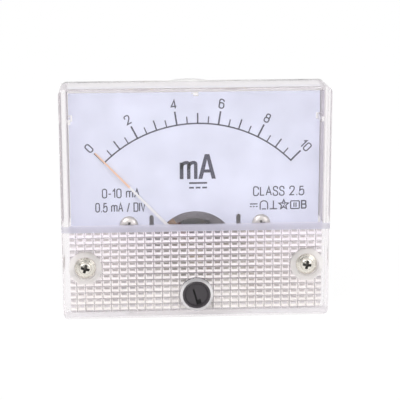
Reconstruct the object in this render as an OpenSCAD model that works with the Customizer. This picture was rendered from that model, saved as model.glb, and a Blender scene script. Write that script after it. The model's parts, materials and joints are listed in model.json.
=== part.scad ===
// Panel meter with a moving coil, 64 x 56 mm face.
// The origin lies on the barrel's axis, in the plane of the panel that the meter is fixed to.
// The face looks along -Y and the barrel stands along +Y.

/* [Face] */
// Width of the meter's face
face_w = 64; // [60:1:76]
// Height of the meter's face
face_h = 56; // [54:1:64]
// Radius of the face's four corners
corner_r = 1.6; // [0.8:0.1:3]
// Radius of the front edges
edge_r = 1.0; // [0.4:0.1:1.6]
// How far the dial's face stands ahead of the panel
dial_depth = 6.8; // [6:0.1:8]
// Height of the window's lower edge above the pivot
window_rise = 8.2; // [7.6:0.1:9]
// How far the window stands ahead of the lower panel
step_depth = 1.0; // [0.6:0.1:1.8]
// Height of the slope between window and lower panel
step_run = 1.7; // [1.2:0.1:2.2]

/* [Cover] */
// Thickness of the cover's side walls
cover_wall = 1.8; // [1.4:0.1:2.2]
// Thickness of the cover's top wall
top_wall = 1.1; // [1:0.1:2]
// Thickness of the window
window_t = 1.5; // [1:0.1:2]
// Thickness of the lower panel ahead of the prisms
panel_t = 1.0; // [0.8:0.1:1.4]
// Gap between the tips of the prisms and the movement
movement_gap = 0.3; // [0.2:0.05:0.6]
// Width of the ribs that locate the dial
rib_w = 1.2; // [0.8:0.1:1.6]

/* [Prisms] */
// Distance between prisms across the panel
prism_pitch_x = 2.05; // [1.8:0.05:2.6]
// Distance between prisms up the panel
prism_pitch_z = 1.5; // [1.3:0.05:2]
// Depth of the grooves between the prisms
prism_depth = 0.5; // [0.3:0.05:0.6]
// Width of a groove at its mouth
groove_w = 0.9; // [0.6:0.05:1.1]

/* [Base] */
// Thickness of the flange
flange_t = 2.4; // [2:0.1:3]
// Radius of the barrel
barrel_r = 25; // [24.6:0.2:27]
// Depth of the barrel behind the panel
barrel_depth = 26; // [24:0.5:32]
// Thickness of the barrel's wall
barrel_wall = 2; // [1.6:0.1:2.2]
// Thickness of the barrel's rear wall
rear_wall = 2; // [1.6:0.1:3]
// Height of the rim that centres the cover
rim_h = 1.2; // [0.8:0.1:1.6]
// Thickness of that rim
rim_t = 1.2; // [0.8:0.1:1.4]
// Gap between the rim and the cover's wall
rim_gap = 0.1; // [0.05:0.05:0.2]

/* [Mounting screws] */
// Distance of each screw from the side edge of the face
screw_inset = 5.4; // [5:0.1:6]
// Height of the screws above the lower edge of the face
screw_rise = 12.8; // [12:0.1:14]
// Thread radius of the mounting screws
screw_r = 1.5; // [1.3:0.05:1.6]
// Radius of the pan heads
screw_head_r = 2.55; // [2.3:0.05:2.7]
// Height of the pan heads
screw_head_h = 1.5; // [1.2:0.1:1.8]
// Depth of the wells that hold the heads
well_depth = 0.9; // [0.6:0.1:0.95]
// Thickness of the panel that the nuts leave room for
panel_room = 2.2; // [2.1:0.1:4]
// Width of the nuts across their flats
nut_af = 5.5; // [5:0.1:6]
// Thickness of the nuts
nut_t = 2.4; // [1.8:0.1:3]
// Thickness of the washers
washer_t = 0.5; // [0.4:0.1:0.8]
// Length of thread past the nuts
thread_past_nut = 1.5; // [1:0.1:3]
// Radius of the pilot points
pilot_r = 1.15; // [0.9:0.05:1.25]
// Length of the pilot points
pilot_l = 2; // [1.5:0.1:3]
// Gap between a washer's hole and the thread in it
washer_gap = 0.1; // [0.05:0.05:0.2]

/* [Dial] */
// Thickness of the dial plate
dial_t = 0.8; // [0.6:0.1:1]
// Gap round the dial plate
dial_gap = 0.3; // [0.2:0.05:0.6]
// Radius of the arched cut-out, about the pivot
cutout_r = 10; // [9.6:0.1:10.2]
// Distance of each slot from the middle
slot_x = 10.5; // [10.4:0.05:10.8]
// Width of the slots
slot_w = 1.05; // [0.8:0.05:1.1]
// Height of the slots' tops above the pivot
slot_rise = 9.3; // [8.6:0.1:10]
// Distance of each dial screw from the middle
dial_screw_x = 16; // [15.4:0.1:16.6]
// Height of the dial screws above the pivot
dial_screw_rise = 7; // [6.4:0.1:7.6]
// Head radius of the dial screws
dial_head_r = 2.2; // [1.8:0.1:2.3]
// Height of the dial screws' heads
dial_head_h = 1.2; // [0.8:0.1:1.4]
// Thread radius of the dial screws
dial_thread_r = 1; // [0.8:0.05:1.1]
// Depth of their thread in the pillars
dial_thread_l = 4; // [3:0.5:6]
// Radius of the dial pillars
pillar_r = 2.2; // [1.8:0.1:2.4]

/* [Movement] */
// Gap between the yoke ring and the inside of the barrel
yoke_gap = 0.5; // [0.3:0.1:1]
// Radius of the core magnet
core_r = 5.4; // [5:0.1:5.8]
// Length of the core magnet
core_l = 10; // [9:0.5:11]
// Air gap that the coil turns in
air_gap = 2.2; // [2.1:0.05:2.3]
// Thickness of the yoke ring
yoke_t = 2; // [1.6:0.1:2.1]
// Thickness of the movement plate
plate_t = 1.5; // [1.2:0.1:2]
// Thickness of the two bridges
bridge_t = 0.8; // [0.6:0.1:1]
// Width of the two bridges
bridge_w = 3.6; // [3:0.1:4]
// Length of the bridges' feet
foot_l = 4.5; // [4:0.1:5]
// Head radius of the bridge screws
bridge_head_r = 1.8; // [1.5:0.1:1.9]
// Head height of the bridge screws
bridge_head_h = 1.1; // [0.8:0.1:1.4]
// Thread radius of the bridge screws
bridge_thread_r = 1; // [0.8:0.05:1.1]
// Thickness of the coil former
former_t = 0.3; // [0.2:0.05:0.35]
// Width of the coil former
former_w = 4; // [3.6:0.1:4.2]
// Height of the copper winding
winding_t = 0.7; // [0.4:0.05:0.75]
// Running clearance of the coil in the air gap
coil_gap = 0.4; // [0.3:0.05:0.5]
// Radius of the pivots' tips
tip_r = 0.2; // [0.15:0.01:0.3]
// Running clearance of the tips in their jewels
tip_gap = 0.05; // [0.02:0.01:0.08]
// Turns of a hairspring
spring_turns = 4; // [3:1:5]

/* [Pointer] */
// Length of the pointer from the pivot to its tip
pointer_l = 34.6; // [32:0.2:35.4]
// Width of the pointer at the hub
pointer_root_w = 0.9; // [0.7:0.05:1.2]
// Width of the pointer at its tip
pointer_tip_w = 0.3; // [0.2:0.05:0.5]
// Thickness of the pointer
pointer_t = 0.25; // [0.2:0.05:0.3]
// Gap between pointer and dial
pointer_gap = 0.75; // [0.5:0.05:1]
// Angle of the pointer at rest, left of upright
rest_angle = 43.7; // [40:0.1:46]
// Angle of the two stops, left and right of upright
stop_angle = 57; // [56:0.5:58]

/* [Zero adjuster] */
// Height of the adjuster above the lower edge of the face
adjuster_rise = 5.9; // [5.9:0.1:6.4]
// Radius of the adjuster's head
adjuster_r = 3.35; // [3:0.05:3.4]
// Wall of the ring round the head
adjuster_ring_t = 0.6; // [0.4:0.05:0.65]
// Depth of the dished face inside the head's rim
dish_depth = 0.6; // [0.2:0.1:0.7]
// Width of the screwdriver slot
adjuster_slot_w = 0.45; // [0.4:0.05:1]
// Angle of the screwdriver slot, left of upright
adjuster_slot_angle = 14; // [0:1:45]
// Side of the square mark at the slot's lower end
adjuster_mark_w = 0.95; // [0.6:0.05:1.2]
// Throw of the eccentric pin
throw = 0.9; // [0.6:0.05:1]
// Radius of the eccentric pin
throw_pin_r = 0.4; // [0.3:0.05:0.5]
// Running clearance of the adjuster and the lever
turn_gap = 0.05; // [0.03:0.01:0.09]

/* [Terminals] */
// Distance of each terminal from the middle
terminal_x = 12; // [11:0.5:13]
// Thread radius of the terminal studs
terminal_r = 2; // [1.75:0.05:2.2]
// Width of the terminal nuts across their flats
terminal_af = 7; // [6.5:0.1:8]
// Thickness of the terminal nuts
terminal_nut_t = 3.2; // [2.4:0.1:4]
// Length of the free pilot end of a stud
terminal_end = 3.5; // [3:0.1:5]
// Length of the solder lugs' tails
lug_l = 9; // [7:0.5:12]

/* [Hidden] */
$fn = 96;
eps = 0.01;

// Stack of the movement along Y, counted from the dial towards the front.
dial_y = -dial_depth;
dial_back = dial_y + dial_t;
pointer_back = dial_y - pointer_gap;
pointer_y = pointer_back - pointer_t;
spring_w = 0.3;
spring_gap = 0.15;
spring_back = pointer_y - spring_gap;
spring_y = spring_back - spring_w;
bridge_back = spring_y - 0.6;
bridge_y = bridge_back - bridge_t;
lever_t = 0.3;
lever_back = bridge_y - turn_gap;
lever_y = lever_back - lever_t;
lock_t = 0.4;
lock_back = lever_y - 0.02;
lock_y = lock_back - lock_t;
jewel_y = lock_y - 0.1;

// The cover stands ahead of the movement.
prism_y = jewel_y - movement_gap;
panel_back = prism_y - prism_depth;
panel_y = panel_back - panel_t;
window_y = panel_y - step_depth;
window_back = window_y + window_t;

// Stack of the movement from the pointer towards the rear.
hub_t = 0.6;
hub_back = pointer_y + hub_t;
staff_base_t = 0.5;
staff_base_y = hub_back + 1.1;
coil_y = staff_base_y + staff_base_t;
former_y = coil_y + winding_t;
former_in_y = former_y + former_t;
strap_t = 0.7;
strap_y = former_in_y + coil_gap;
core_y = strap_y + strap_t;
core_back = core_y + core_l;
web_back = core_back + strap_t;
former_in_back = web_back + coil_gap;
former_back = former_in_back + former_t;
coil_back = former_back + winding_t;
staff_base_back = coil_back + staff_base_t;
plate_back = core_back + plate_t;
rear_spring_y = staff_base_back + 0.2;
rear_spring_back = rear_spring_y + spring_w;
rear_bridge_y = rear_spring_back + 1.6;
rear_bridge_back = rear_bridge_y + bridge_t;
rear_lock_t = 0.8;
rear_jewel_back = rear_bridge_back + rear_lock_t + 0.4;

// Radial sizes of the movement.
yoke_in_r = core_r + air_gap;
yoke_r = yoke_in_r + yoke_t;
barrel_in_r = barrel_r - barrel_wall;
pivot_z = yoke_gap + yoke_r - barrel_in_r;
former_half = core_r + coil_gap + 0.2;
winding_w = former_w - 0.6;
leg_in = yoke_r + 0.7;
leg_t = 1.2;
leg_out = leg_in + leg_t;
foot_x = leg_out + foot_l / 2;
foot_t = bridge_t;
screw_tail = 0.8;
strap_w = 3.2;
strap_screw_r = (yoke_in_r + yoke_r) / 2;
jewel_r = 1.2;
staff_r = 0.35;
collet_r = 0.9;
spring_t = 0.12;
spring_in_r = collet_r + 0.1;
spring_out_r = 3.8;
tag_in_r = 3.9;
tag_t = 0.4;
arm_l = 6;
tail_l = 7;
stop_reach = cutout_r + 0.8;
stop_r = 0.4;

// Places on the face.
screw_x = face_w / 2 - screw_inset;
screw_z = screw_rise - face_h / 2;
adjuster_z = adjuster_rise - face_h / 2;
adjuster_drop = pivot_z - adjuster_z;
window_z = pivot_z + window_rise;
slope_z = window_z - step_run;
dial_screw_z = pivot_z + dial_screw_rise;
cavity_w = face_w - 2 * cover_wall;
cavity_top = face_h / 2 - top_wall;
cavity_bottom = cover_wall - face_h / 2;
dial_top = cavity_top - dial_gap;
dial_bottom = cavity_bottom + dial_gap + 1;
dial_half = cavity_w / 2 - dial_gap;
notch_half = leg_out + 0.5;
notch_top = pivot_z + 3.9;
rib_z = dial_top - 6.4;
rib_depth = 0.9;
barrel_in_back = barrel_depth - rear_wall;
well_y = panel_y + well_depth;
well_r = screw_head_r + 0.35;
clear_r = screw_r + 0.15;
column_r = clear_r + 2.25;
washer_y = panel_room;
nut_y = washer_y + washer_t;
thread_end = nut_y + nut_t + thread_past_nut;
post_r = pillar_r + 0.8;
pillar_stud_r = 1.2;
pillar_stud_l = 6;

// Zero adjuster.
ring_r = adjuster_r + turn_gap + adjuster_ring_t;
ring_y = panel_y - 0.7;
head_y = panel_y - 0.8;
dish_y = head_y + dish_depth;
dish_r = adjuster_r - 0.35;
slot_up = 1.6;
slot_down = 2.5;
slot_depth = 0.35;
head_seat = panel_y + 0.35;
shaft_r = adjuster_r - 1.35;
sleeve_back = prism_y + 0.05;
clip_t = 0.25;
clip_back = sleeve_back + 0.02 + clip_t;
groove_r = shaft_r - 0.4;
shaft_back = clip_back + 0.15;
lever_r = 2.3;
fork_reach = adjuster_drop - throw;

// Terminals.
boss_r = 6.5;
boss_back = barrel_depth + 2;
stud_head_r = 3.5;
stud_head_t = 1.6;
lug_t = 0.8;
lug_w = 3.2;
spring_washer_t = 1;
spring_washer_r = 0.5 * terminal_af;
terminal_washer_r = terminal_r + 2.4;
inner_nut_back = boss_back + terminal_nut_t;
lug_back = inner_nut_back + lug_t;
flat_back = lug_back + lug_t;
split_back = flat_back + spring_washer_t;
outer_nut_back = split_back + terminal_nut_t;
terminal_thread_end = outer_nut_back + 1.5;
terminal_end_r = terminal_r - 0.25;

// A round rod along Y from y0 to y1.
module rod(r, y0, y1) {
    translate([0, y0, 0]) rotate([-90, 0, 0]) cylinder(r = r, h = y1 - y0);
}

// A six-sided rod along Y, af across its flats.
module hex_rod(af, y0, y1) {
    translate([0, y0, 0]) rotate([-90, 0, 0]) cylinder(d = af / cos(30), h = y1 - y0, $fn = 6);
}

// A six-sided nut along Y with bevelled corners, af across its flats, bored to radius r.
module hex_nut(af, r, y0, y1) {
    end_r = 0.48 * af;
    wide_r = 0.59 * af;
    bevel = (wide_r - end_r) * tan(30);
    difference() {
        intersection() {
            hex_rod(af, y0, y1);
            translate([0, y0, 0]) rotate([-90, 0, 0]) union() {
                cylinder(r1 = end_r, r2 = wide_r, h = bevel);
                translate([0, 0, bevel]) cylinder(r = wide_r, h = y1 - y0 - 2 * bevel);
                translate([0, 0, y1 - y0 - bevel]) cylinder(r1 = wide_r, r2 = end_r, h = bevel);
            }
        }
        rod(r, y0 - 1, y1 + 1);
    }
}

// A flat outline, drawn as x and z, made solid from y0 to y1.
module slab(y0, y1) {
    translate([0, y1, 0]) rotate([90, 0, 0]) linear_extrude(y1 - y0) children();
}

// A pair, mirrored about the middle.
module pair(x, z = 0) {
    for (side = [-1, 1])
        translate([side * x, 0, z]) children();
}

// Two that are mirror images of each other.
module mirrored() {
    children();
    mirror([1, 0, 0]) children();
}

module rounded_rect(w, h, r) {
    square([w - 2 * r, h], center = true);
    square([w, h - 2 * r], center = true);
    for (x = [-1, 1], z = [-1, 1])
        translate([x * (w / 2 - r), z * (h / 2 - r)]) circle(r);
}

// A ring along Y.
module ring(r_out, r_in, y0, y1) {
    difference() {
        rod(r_out, y0, y1);
        rod(r_in, y0 - 1, y1 + 1);
    }
}

// A cross-recess pan head with its shank and pilot, seated at y = 0.
module pan_screw(head_r, head_h, r, length, tip_r, tip_l, turn) {
    crown = head_r * 1.6;
    difference() {
        intersection() {
            rod(head_r, -head_h, 0);
            translate([0, crown - head_h, 0]) sphere(crown);
        }
        rotate([0, turn, 0]) {
            for (a = [0, 90])
                rotate([0, a, 0]) translate([0, -head_h, 0]) cube([head_r * 0.88, head_h * 1.1, head_r * 0.22], center = true);
            translate([0, -head_h - eps, 0]) rotate([-90, 0, 0]) cylinder(r1 = head_r * 0.26, r2 = 0, h = head_h * 0.85);
        }
    }
    rod(r, -eps, length);
    rod(tip_r, length - eps, length + tip_l);
}

// A slotted cheese head with its shank, seated at y = 0.
module slot_screw(head_r, head_h, r, length, turn = 0) {
    difference() {
        rod(head_r, -head_h, 0);
        rotate([0, turn, 0]) translate([0, -head_h, 0]) cube([head_r * 3, head_h, head_r * 0.3], center = true);
    }
    rod(r, -eps, length);
}

// ---- Base and cover ----

module base_housing() {
    post_y = plate_back;
    color([0.93, 0.94, 0.96, 0.5]) difference() {
        union() {
            slab(-flange_t, 0) rounded_rect(face_w, face_h, corner_r);
            base_rim();
            barrel();
            pair(terminal_x) rod(boss_r, barrel_in_back, boss_back);
            pair(dial_screw_x, dial_screw_z) rod(post_r, post_y, barrel_in_back + eps);
            mirrored() post_web();
            pair(dial_half - 3, dial_top - 4) dial_rest();
        }
        pair(screw_x, screw_z) rod(clear_r, -flange_t - rim_h - 1, 1);
        pair(terminal_x) rod(terminal_r, barrel_in_back - 1, boss_back + 1);
        pair(dial_screw_x, dial_screw_z) rod(pillar_stud_r, post_y - 1, post_y + pillar_stud_l);
        rod(barrel_in_r, -flange_t - rim_h - 1, post_y - 6);
    }
}

// The barrel: a cup with a rounded rear edge, its cavity open to the front.
module barrel() {
    round_r = 1.5;
    rotate([-90, 0, 0]) difference() {
        union() {
            translate([0, 0, -eps]) cylinder(r = barrel_r, h = barrel_depth - round_r + eps);
            cylinder(r = barrel_r - round_r, h = barrel_depth);
            translate([0, 0, barrel_depth - round_r]) rotate_extrude() translate([barrel_r - round_r, 0]) circle(round_r);
        }
        translate([0, 0, -flange_t - 1]) cylinder(r = barrel_in_r, h = barrel_in_back + flange_t + 1);
    }
}

// The rim inside the cover's wall, open round the two screw columns.
module base_rim() {
    slab(-flange_t - rim_h, -flange_t + eps) difference() {
        cavity_outline(rim_gap);
        cavity_outline(rim_gap + rim_t);
        for (side = [-1, 1])
            translate([side * screw_x, screw_z]) circle(column_r + 0.3);
    }
}

// The cavity's outline, drawn in by inset all round.
module cavity_outline(inset) {
    translate([inset - cavity_w / 2, cavity_bottom + inset])
        square([cavity_w - 2 * inset, cavity_top - cavity_bottom - 2 * inset]);
}

// A web that ties a movement post to the barrel's wall.
module post_web() {
    angle = atan2(dial_screw_z, dial_screw_x);
    reach = norm([dial_screw_x, dial_screw_z]);
    rotate([0, -angle, 0])
        translate([reach, plate_back + 2, -0.6])
            cube([barrel_in_r - reach + 0.5, barrel_in_back - plate_back - 2 + eps, 1.2]);
}

// A peg behind an upper corner of the dial.
module dial_rest() {
    rod(1.6, dial_back, -flange_t + eps);
}

module front_cover() {
    color([0.96, 0.96, 0.99, 0.3]) difference() {
        union() {
            difference() {
                cover_outside();
                cover_cavity();
                prism_grooves();
            }
            pair(screw_x, screw_z) cover_column();
            translate([0, 0, adjuster_z]) rod(ring_r, ring_y, sleeve_back);
            dial_ribs();
        }
        pair(screw_x, screw_z) rod(clear_r, window_y - 1, 0);
        pair(screw_x, screw_z) rod(well_r, window_y - 1, well_y);
        translate([0, 0, adjuster_z]) rod(adjuster_r + turn_gap, ring_y - 1, head_seat);
        translate([0, 0, adjuster_z]) rod(shaft_r + turn_gap, ring_y - 1, sleeve_back + 1);
    }
}

// A column round a mounting screw, merged with the side wall and kept inside it.
module cover_column() {
    intersection() {
        rod(column_r, panel_back - eps, -flange_t);
        translate([-face_w, panel_back - eps, -face_h]) cube([2 * face_w, face_h, 2 * face_h]);
    }
}

// Side profile of the cover, as y and z.
module side_profile() {
    half = face_h / 2;
    difference() {
        polygon([[-flange_t, -half], [-flange_t, half], [window_y, half], [window_y, window_z],
                 [panel_y, slope_z], [panel_y, -half]]);
        edge_cut(window_y, half, 1);
        edge_cut(panel_y, -half, -1);
    }
}

// Plan profile of the cover, as y and x, with its front at y = front.
module plan_profile(front) {
    half = face_w / 2;
    difference() {
        translate([front, -half]) square([-flange_t - front, face_w]);
        edge_cut(front, half, 1);
        edge_cut(front, -half, -1);
    }
}

// What is cut off to round an edge at a front corner.
module edge_cut(front, side, way) {
    translate([front + edge_r, side - way * edge_r]) difference() {
        translate([-edge_r - 1, way > 0 ? 0 : -edge_r - 1]) square([edge_r + 1, edge_r + 1]);
        circle(edge_r);
    }
}

module along_x(w) {
    translate([-w / 2, 0, 0]) rotate([90, 0, 90]) linear_extrude(w) children();
}

module along_z(z0, z1) {
    translate([0, 0, z0]) linear_extrude(z1 - z0) mirror([1, -1]) children();
}

module cover_outside() {
    intersection() {
        slab(window_y, -flange_t) rounded_rect(face_w, face_h, corner_r);
        along_x(face_w + 2) side_profile();
        union() {
            along_z(slope_z, face_h) plan_profile(window_y);
            along_z(-face_h, slope_z + eps) plan_profile(panel_y);
        }
    }
}

// The cavity behind window, slope and lower panel.
module cover_cavity() {
    in_top = window_z - 0.6;
    along_x(cavity_w)
        polygon([[0, cavity_bottom], [0, cavity_top], [window_back, cavity_top], [window_back, in_top],
                 [panel_back + prism_depth, slope_z], [panel_back + prism_depth, cavity_bottom]]);
}

// V-grooves along x and z that leave truncated prisms on the inside of the lower panel.
module prism_grooves() {
    top = slope_z;
    bottom = cavity_bottom;
    columns = floor(cavity_w / prism_pitch_x / 2);
    rows = floor((top - bottom) / prism_pitch_z);
    groove = [[0, 0], [prism_depth + eps, -groove_w / 2], [prism_depth + eps, groove_w / 2]];
    for (i = [-columns : columns])
        translate([i * prism_pitch_x, panel_back, 0]) along_z(bottom, top) polygon(groove);
    for (j = [0 : rows])
        translate([0, panel_back, top - j * prism_pitch_z]) along_x(cavity_w) polygon(groove);
}

// Three ribs that locate the dial: one on each side and one at the top.
module dial_ribs() {
    mirrored() translate([cavity_w / 2 - rib_depth, window_back - eps, rib_z - rib_w / 2])
        cube([rib_depth + eps, dial_back - window_back, rib_w]);
    translate([-rib_w / 2, window_back - eps, cavity_top - rib_depth])
        cube([rib_w, dial_back - window_back, rib_depth + eps]);
}

// ---- Mounting hardware ----

module mounting_screws() {
    color([0.72, 0.70, 0.66]) for (side = [-1, 1])
        translate([side * screw_x, well_y, screw_z])
            pan_screw(screw_head_r, screw_head_h, screw_r, thread_end - well_y, pilot_r, pilot_l, side < 0 ? -20 : 10);
}

module mounting_washers() {
    color([0.75, 0.75, 0.76]) pair(screw_x, screw_z) ring(2 * screw_r, screw_r + washer_gap, washer_y, nut_y);
}

module mounting_nuts() {
    color([0.75, 0.75, 0.76]) pair(screw_x, screw_z) hex_nut(nut_af, screw_r, nut_y, nut_y + nut_t);
}

// ---- Dial ----

module dial_plate() {
    color([0.93, 0.94, 0.97]) slab(dial_y, dial_back) difference() {
        translate([-dial_half, dial_bottom]) square([2 * dial_half, dial_top - dial_bottom]);
        translate([0, pivot_z]) circle(cutout_r);
        translate([-notch_half, -face_h]) square([2 * notch_half, face_h + notch_top]);
        for (side = [-1, 1]) {
            dial_slot(side * slot_x);
            translate([side * dial_screw_x, dial_screw_z]) circle(dial_thread_r + 0.1);
            translate([side * screw_x, screw_z]) circle(column_r + 0.3);
            translate([side * (screw_x + 10), screw_z]) square([20, 2 * column_r + 0.6], center = true);
            translate([side * dial_half, rib_z]) square([2 * rib_depth, rib_w + 0.4], center = true);
            translate(stop_place(side)) circle(stop_r);
        }
        translate([0, dial_top]) square([rib_w + 0.4, 2 * rib_depth], center = true);
    }
}

// A slot with a round top that runs down into the notch.
module dial_slot(x) {
    top = pivot_z + slot_rise - slot_w / 2;
    translate([x, top]) circle(slot_w / 2);
    translate([x - slot_w / 2, notch_top - 1]) square([slot_w, top - notch_top + 1]);
}

// Where the stop on the given side stands, as x and z.
function stop_place(side) =
    [side * stop_reach * sin(stop_angle), pivot_z + stop_reach * cos(stop_angle)];

module pointer_stops() {
    color([0.2, 0.2, 0.22]) for (side = [-1, 1]) {
        place = stop_place(side);
        translate([place[0], 0, place[1]]) rod(stop_r, pointer_y - 0.5, dial_back);
    }
}

module dial_screws() {
    color([0.78, 0.78, 0.8]) pair(dial_screw_x, dial_screw_z)
        translate([0, dial_y, 0])
            pan_screw(dial_head_r, dial_head_h, dial_thread_r, dial_t + dial_thread_l, 0.8 * dial_thread_r, 0.4, 8);
}

module dial_pillars() {
    color([0.80, 0.68, 0.36]) pair(dial_screw_x, dial_screw_z) difference() {
        union() {
            rod(pillar_r, dial_back, core_back);
            rod(pillar_stud_r, core_back - eps, plate_back + pillar_stud_l - 0.5);
        }
        rod(dial_thread_r, dial_back - 1, dial_back + dial_thread_l + 1);
    }
}

// ---- Fixed movement ----

module movement_plate() {
    half = dial_screw_x + post_r + 0.8;
    top = dial_screw_z + post_r + 0.6;
    color([0.75, 0.75, 0.76]) difference() {
        union() {
            slab(core_back, plate_back) difference() {
                intersection() {
                    circle(barrel_in_r - 0.4);
                    translate([-half, -barrel_r]) square([2 * half, barrel_r + top]);
                }
                translate([0, pivot_z]) circle(yoke_in_r);
            }
            slab(core_back, web_back) translate([0, pivot_z]) square([2 * yoke_in_r + 1, strap_w], center = true);
        }
        pair(dial_screw_x, dial_screw_z) rod(pillar_stud_r, core_back - 1, plate_back + 1);
        pair(foot_x, pivot_z) rod(bridge_thread_r + 0.05, core_back - 1, plate_back + 1);
    }
}

module yoke_ring() {
    color([0.62, 0.60, 0.60]) difference() {
        translate([0, 0, pivot_z]) ring(yoke_r, yoke_in_r, core_y, core_back);
        translate([0, 0, pivot_z]) pair(strap_screw_r) rod(0.5, core_y - 1, core_y + 3);
        for (angle = shunt_angles)
            translate(polar(strap_screw_r, angle)) rod(0.4, core_y - 1, core_y + 2);
    }
}

module core_magnet() {
    color([0.35, 0.35, 0.37]) translate([0, 0, pivot_z]) rod(core_r, core_y, core_back);
}

// The strap that holds the core's front end, screwed to the yoke on both sides.
module core_strap() {
    color([0.80, 0.68, 0.36]) difference() {
        slab(strap_y, core_y) intersection() {
            translate([0, pivot_z]) circle(yoke_r - 0.1);
            translate([0, pivot_z]) square([2 * yoke_r, strap_w], center = true);
        }
        translate([0, 0, pivot_z]) pair(strap_screw_r) rod(0.5, strap_y - 1, core_y + 1);
    }
}

module core_screws() {
    color([0.78, 0.78, 0.8]) translate([0, strap_y, pivot_z]) pair(strap_screw_r) slot_screw(0.85, 0.5, 0.5, 3, 20);
}

// Place on the movement's face at a radius and an angle right of upright.
function polar(r, angle) = [r * sin(angle), 0, pivot_z + r * cos(angle)];

shunt_angles = [-54, -42];
shunt_t = 0.5;

// A small sector on the yoke's face that trims the field, held by two rivets.
module magnetic_shunt() {
    color([0.80, 0.52, 0.32]) {
        slab(core_y - shunt_t, core_y) intersection() {
            translate([0, pivot_z]) difference() {
                circle(yoke_r - 0.1);
                circle(yoke_in_r + 0.1);
            }
            translate([0, pivot_z]) polygon([[0, 0], for (a = [-62, -48, -34]) [2 * yoke_r * sin(a), 2 * yoke_r * cos(a)]]);
        }
        for (angle = shunt_angles)
            translate(polar(strap_screw_r, angle)) {
                rod(0.7, core_y - shunt_t - 0.3, core_y - shunt_t + eps);
                rod(0.4, core_y - eps, core_y + 1.6);
            }
    }
}

// One strip with a round middle, two legs and outward feet, drawn from the strip to the plate.
module bridge(strip_y, strip_back, leg_end, foot_y, middle_r) {
    slab(strip_y, strip_back) translate([0, pivot_z]) {
        square([2 * leg_out, bridge_w], center = true);
        circle(middle_r);
    }
    mirrored() translate([leg_in, min(strip_y, leg_end), pivot_z - bridge_w / 2])
        cube([leg_t, abs(leg_end - strip_y), bridge_w]);
    mirrored() translate([leg_in, foot_y, pivot_z - bridge_w / 2])
        cube([leg_t + foot_l, foot_t, bridge_w]);
}

module front_bridge() {
    color([0.75, 0.75, 0.76]) difference() {
        bridge(bridge_y, bridge_back, core_back, core_back - foot_t, jewel_r + 2);
        translate([0, 0, pivot_z]) rod(jewel_r, bridge_y - 1, bridge_back + 1);
        pair(foot_x, pivot_z) rod(bridge_thread_r + 0.05, core_back - foot_t - 1, core_back + 1);
    }
}

module rear_bridge() {
    color([0.75, 0.75, 0.76]) {
        difference() {
            union() {
                bridge(rear_bridge_y, rear_bridge_back, rear_bridge_back, plate_back, yoke_in_r + 0.6);
                mirrored() translate([leg_in, plate_back, pivot_z - bridge_w / 2])
                    cube([leg_t, rear_bridge_back - plate_back, bridge_w]);
            }
            translate([0, 0, pivot_z]) rod(jewel_r, rear_bridge_y - 1, rear_bridge_back + 1);
            pair(foot_x, pivot_z) rod(bridge_thread_r, plate_back - 1, plate_back + foot_t + 1);
        }
        translate([-0.4, rear_spring_y, pivot_z - tag_in_r - tag_t]) cube([0.8, rear_bridge_back - rear_spring_y, tag_t]);
        translate([-0.4, rear_bridge_y, pivot_z - tag_in_r - tag_t]) cube([0.8, bridge_t, tag_in_r + tag_t - jewel_r - 1]);
    }
}

module bridge_screws() {
    color([0.78, 0.78, 0.8]) translate([0, core_back - foot_t, 0]) pair(foot_x, pivot_z)
        slot_screw(bridge_head_r, bridge_head_h, bridge_thread_r, 2 * foot_t + plate_t + screw_tail, -25);
}

// A slotted jewel screw from y0 to y1, with its jewel at the given end.
module jewel_screw(y0, y1, jewel_at_back) {
    slot_y = jewel_at_back ? y0 : y1;
    jewel_mouth = jewel_at_back ? y1 : y0;
    depth = 0.7;
    translate([0, 0, pivot_z]) difference() {
        rod(jewel_r, y0, y1);
        translate([0, jewel_mouth - depth, 0]) rod(tip_r + tip_gap, 0, 2 * depth);
        translate([0, slot_y, 0]) cube([3 * jewel_r, 0.6, 0.3], center = true);
    }
}

module front_jewel_screw() {
    color([0.78, 0.66, 0.35]) jewel_screw(jewel_y, bridge_back + 0.55, true);
}

module rear_jewel_screw() {
    color([0.78, 0.66, 0.35]) jewel_screw(rear_bridge_y - 1.1, rear_jewel_back, false);
}

module lock_nut(y0, y1) {
    translate([0, 0, pivot_z]) hex_nut(4, jewel_r, y0, y1);
}

module front_lock_nut() {
    color([0.78, 0.78, 0.8]) lock_nut(lock_y, lock_back);
}

module rear_lock_nut() {
    color([0.78, 0.78, 0.8]) lock_nut(rear_bridge_back, rear_bridge_back + rear_lock_t);
}

// ---- Moving coil ----

// Turns what is drawn upright to the pointer's angle at rest, about the pivot.
module at_rest() {
    translate([0, 0, pivot_z]) rotate([0, -rest_angle, 0]) children();
}

module pointer() {
    root = 1.4;
    color([0.93, 0.93, 0.92]) at_rest() difference() {
        union() {
            slab(pointer_y, pointer_back) {
                polygon([[-pointer_root_w / 2, 0], [-pointer_tip_w / 2, pointer_l - pointer_tip_w],
                         [0, pointer_l], [pointer_tip_w / 2, pointer_l - pointer_tip_w], [pointer_root_w / 2, 0]]);
                translate([-0.4, -tail_l]) square([0.8, tail_l]);
                translate([-arm_l, -0.4]) square([2 * arm_l, 0.8]);
            }
            rod(root, pointer_y, hub_back);
        }
        rod(staff_r, pointer_y - 1, hub_back + 1);
    }
}

// Discs on the tail and the two arms that bring the pointer into balance.
module balance_weights() {
    disc_t = 0.45;
    color([0.75, 0.75, 0.77]) at_rest() {
        translate([0, 0, -tail_l + 1]) rod(1, pointer_y - disc_t, pointer_y);
        pair(arm_l - 0.8) rod(0.8, pointer_y - disc_t, pointer_y);
    }
}

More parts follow.
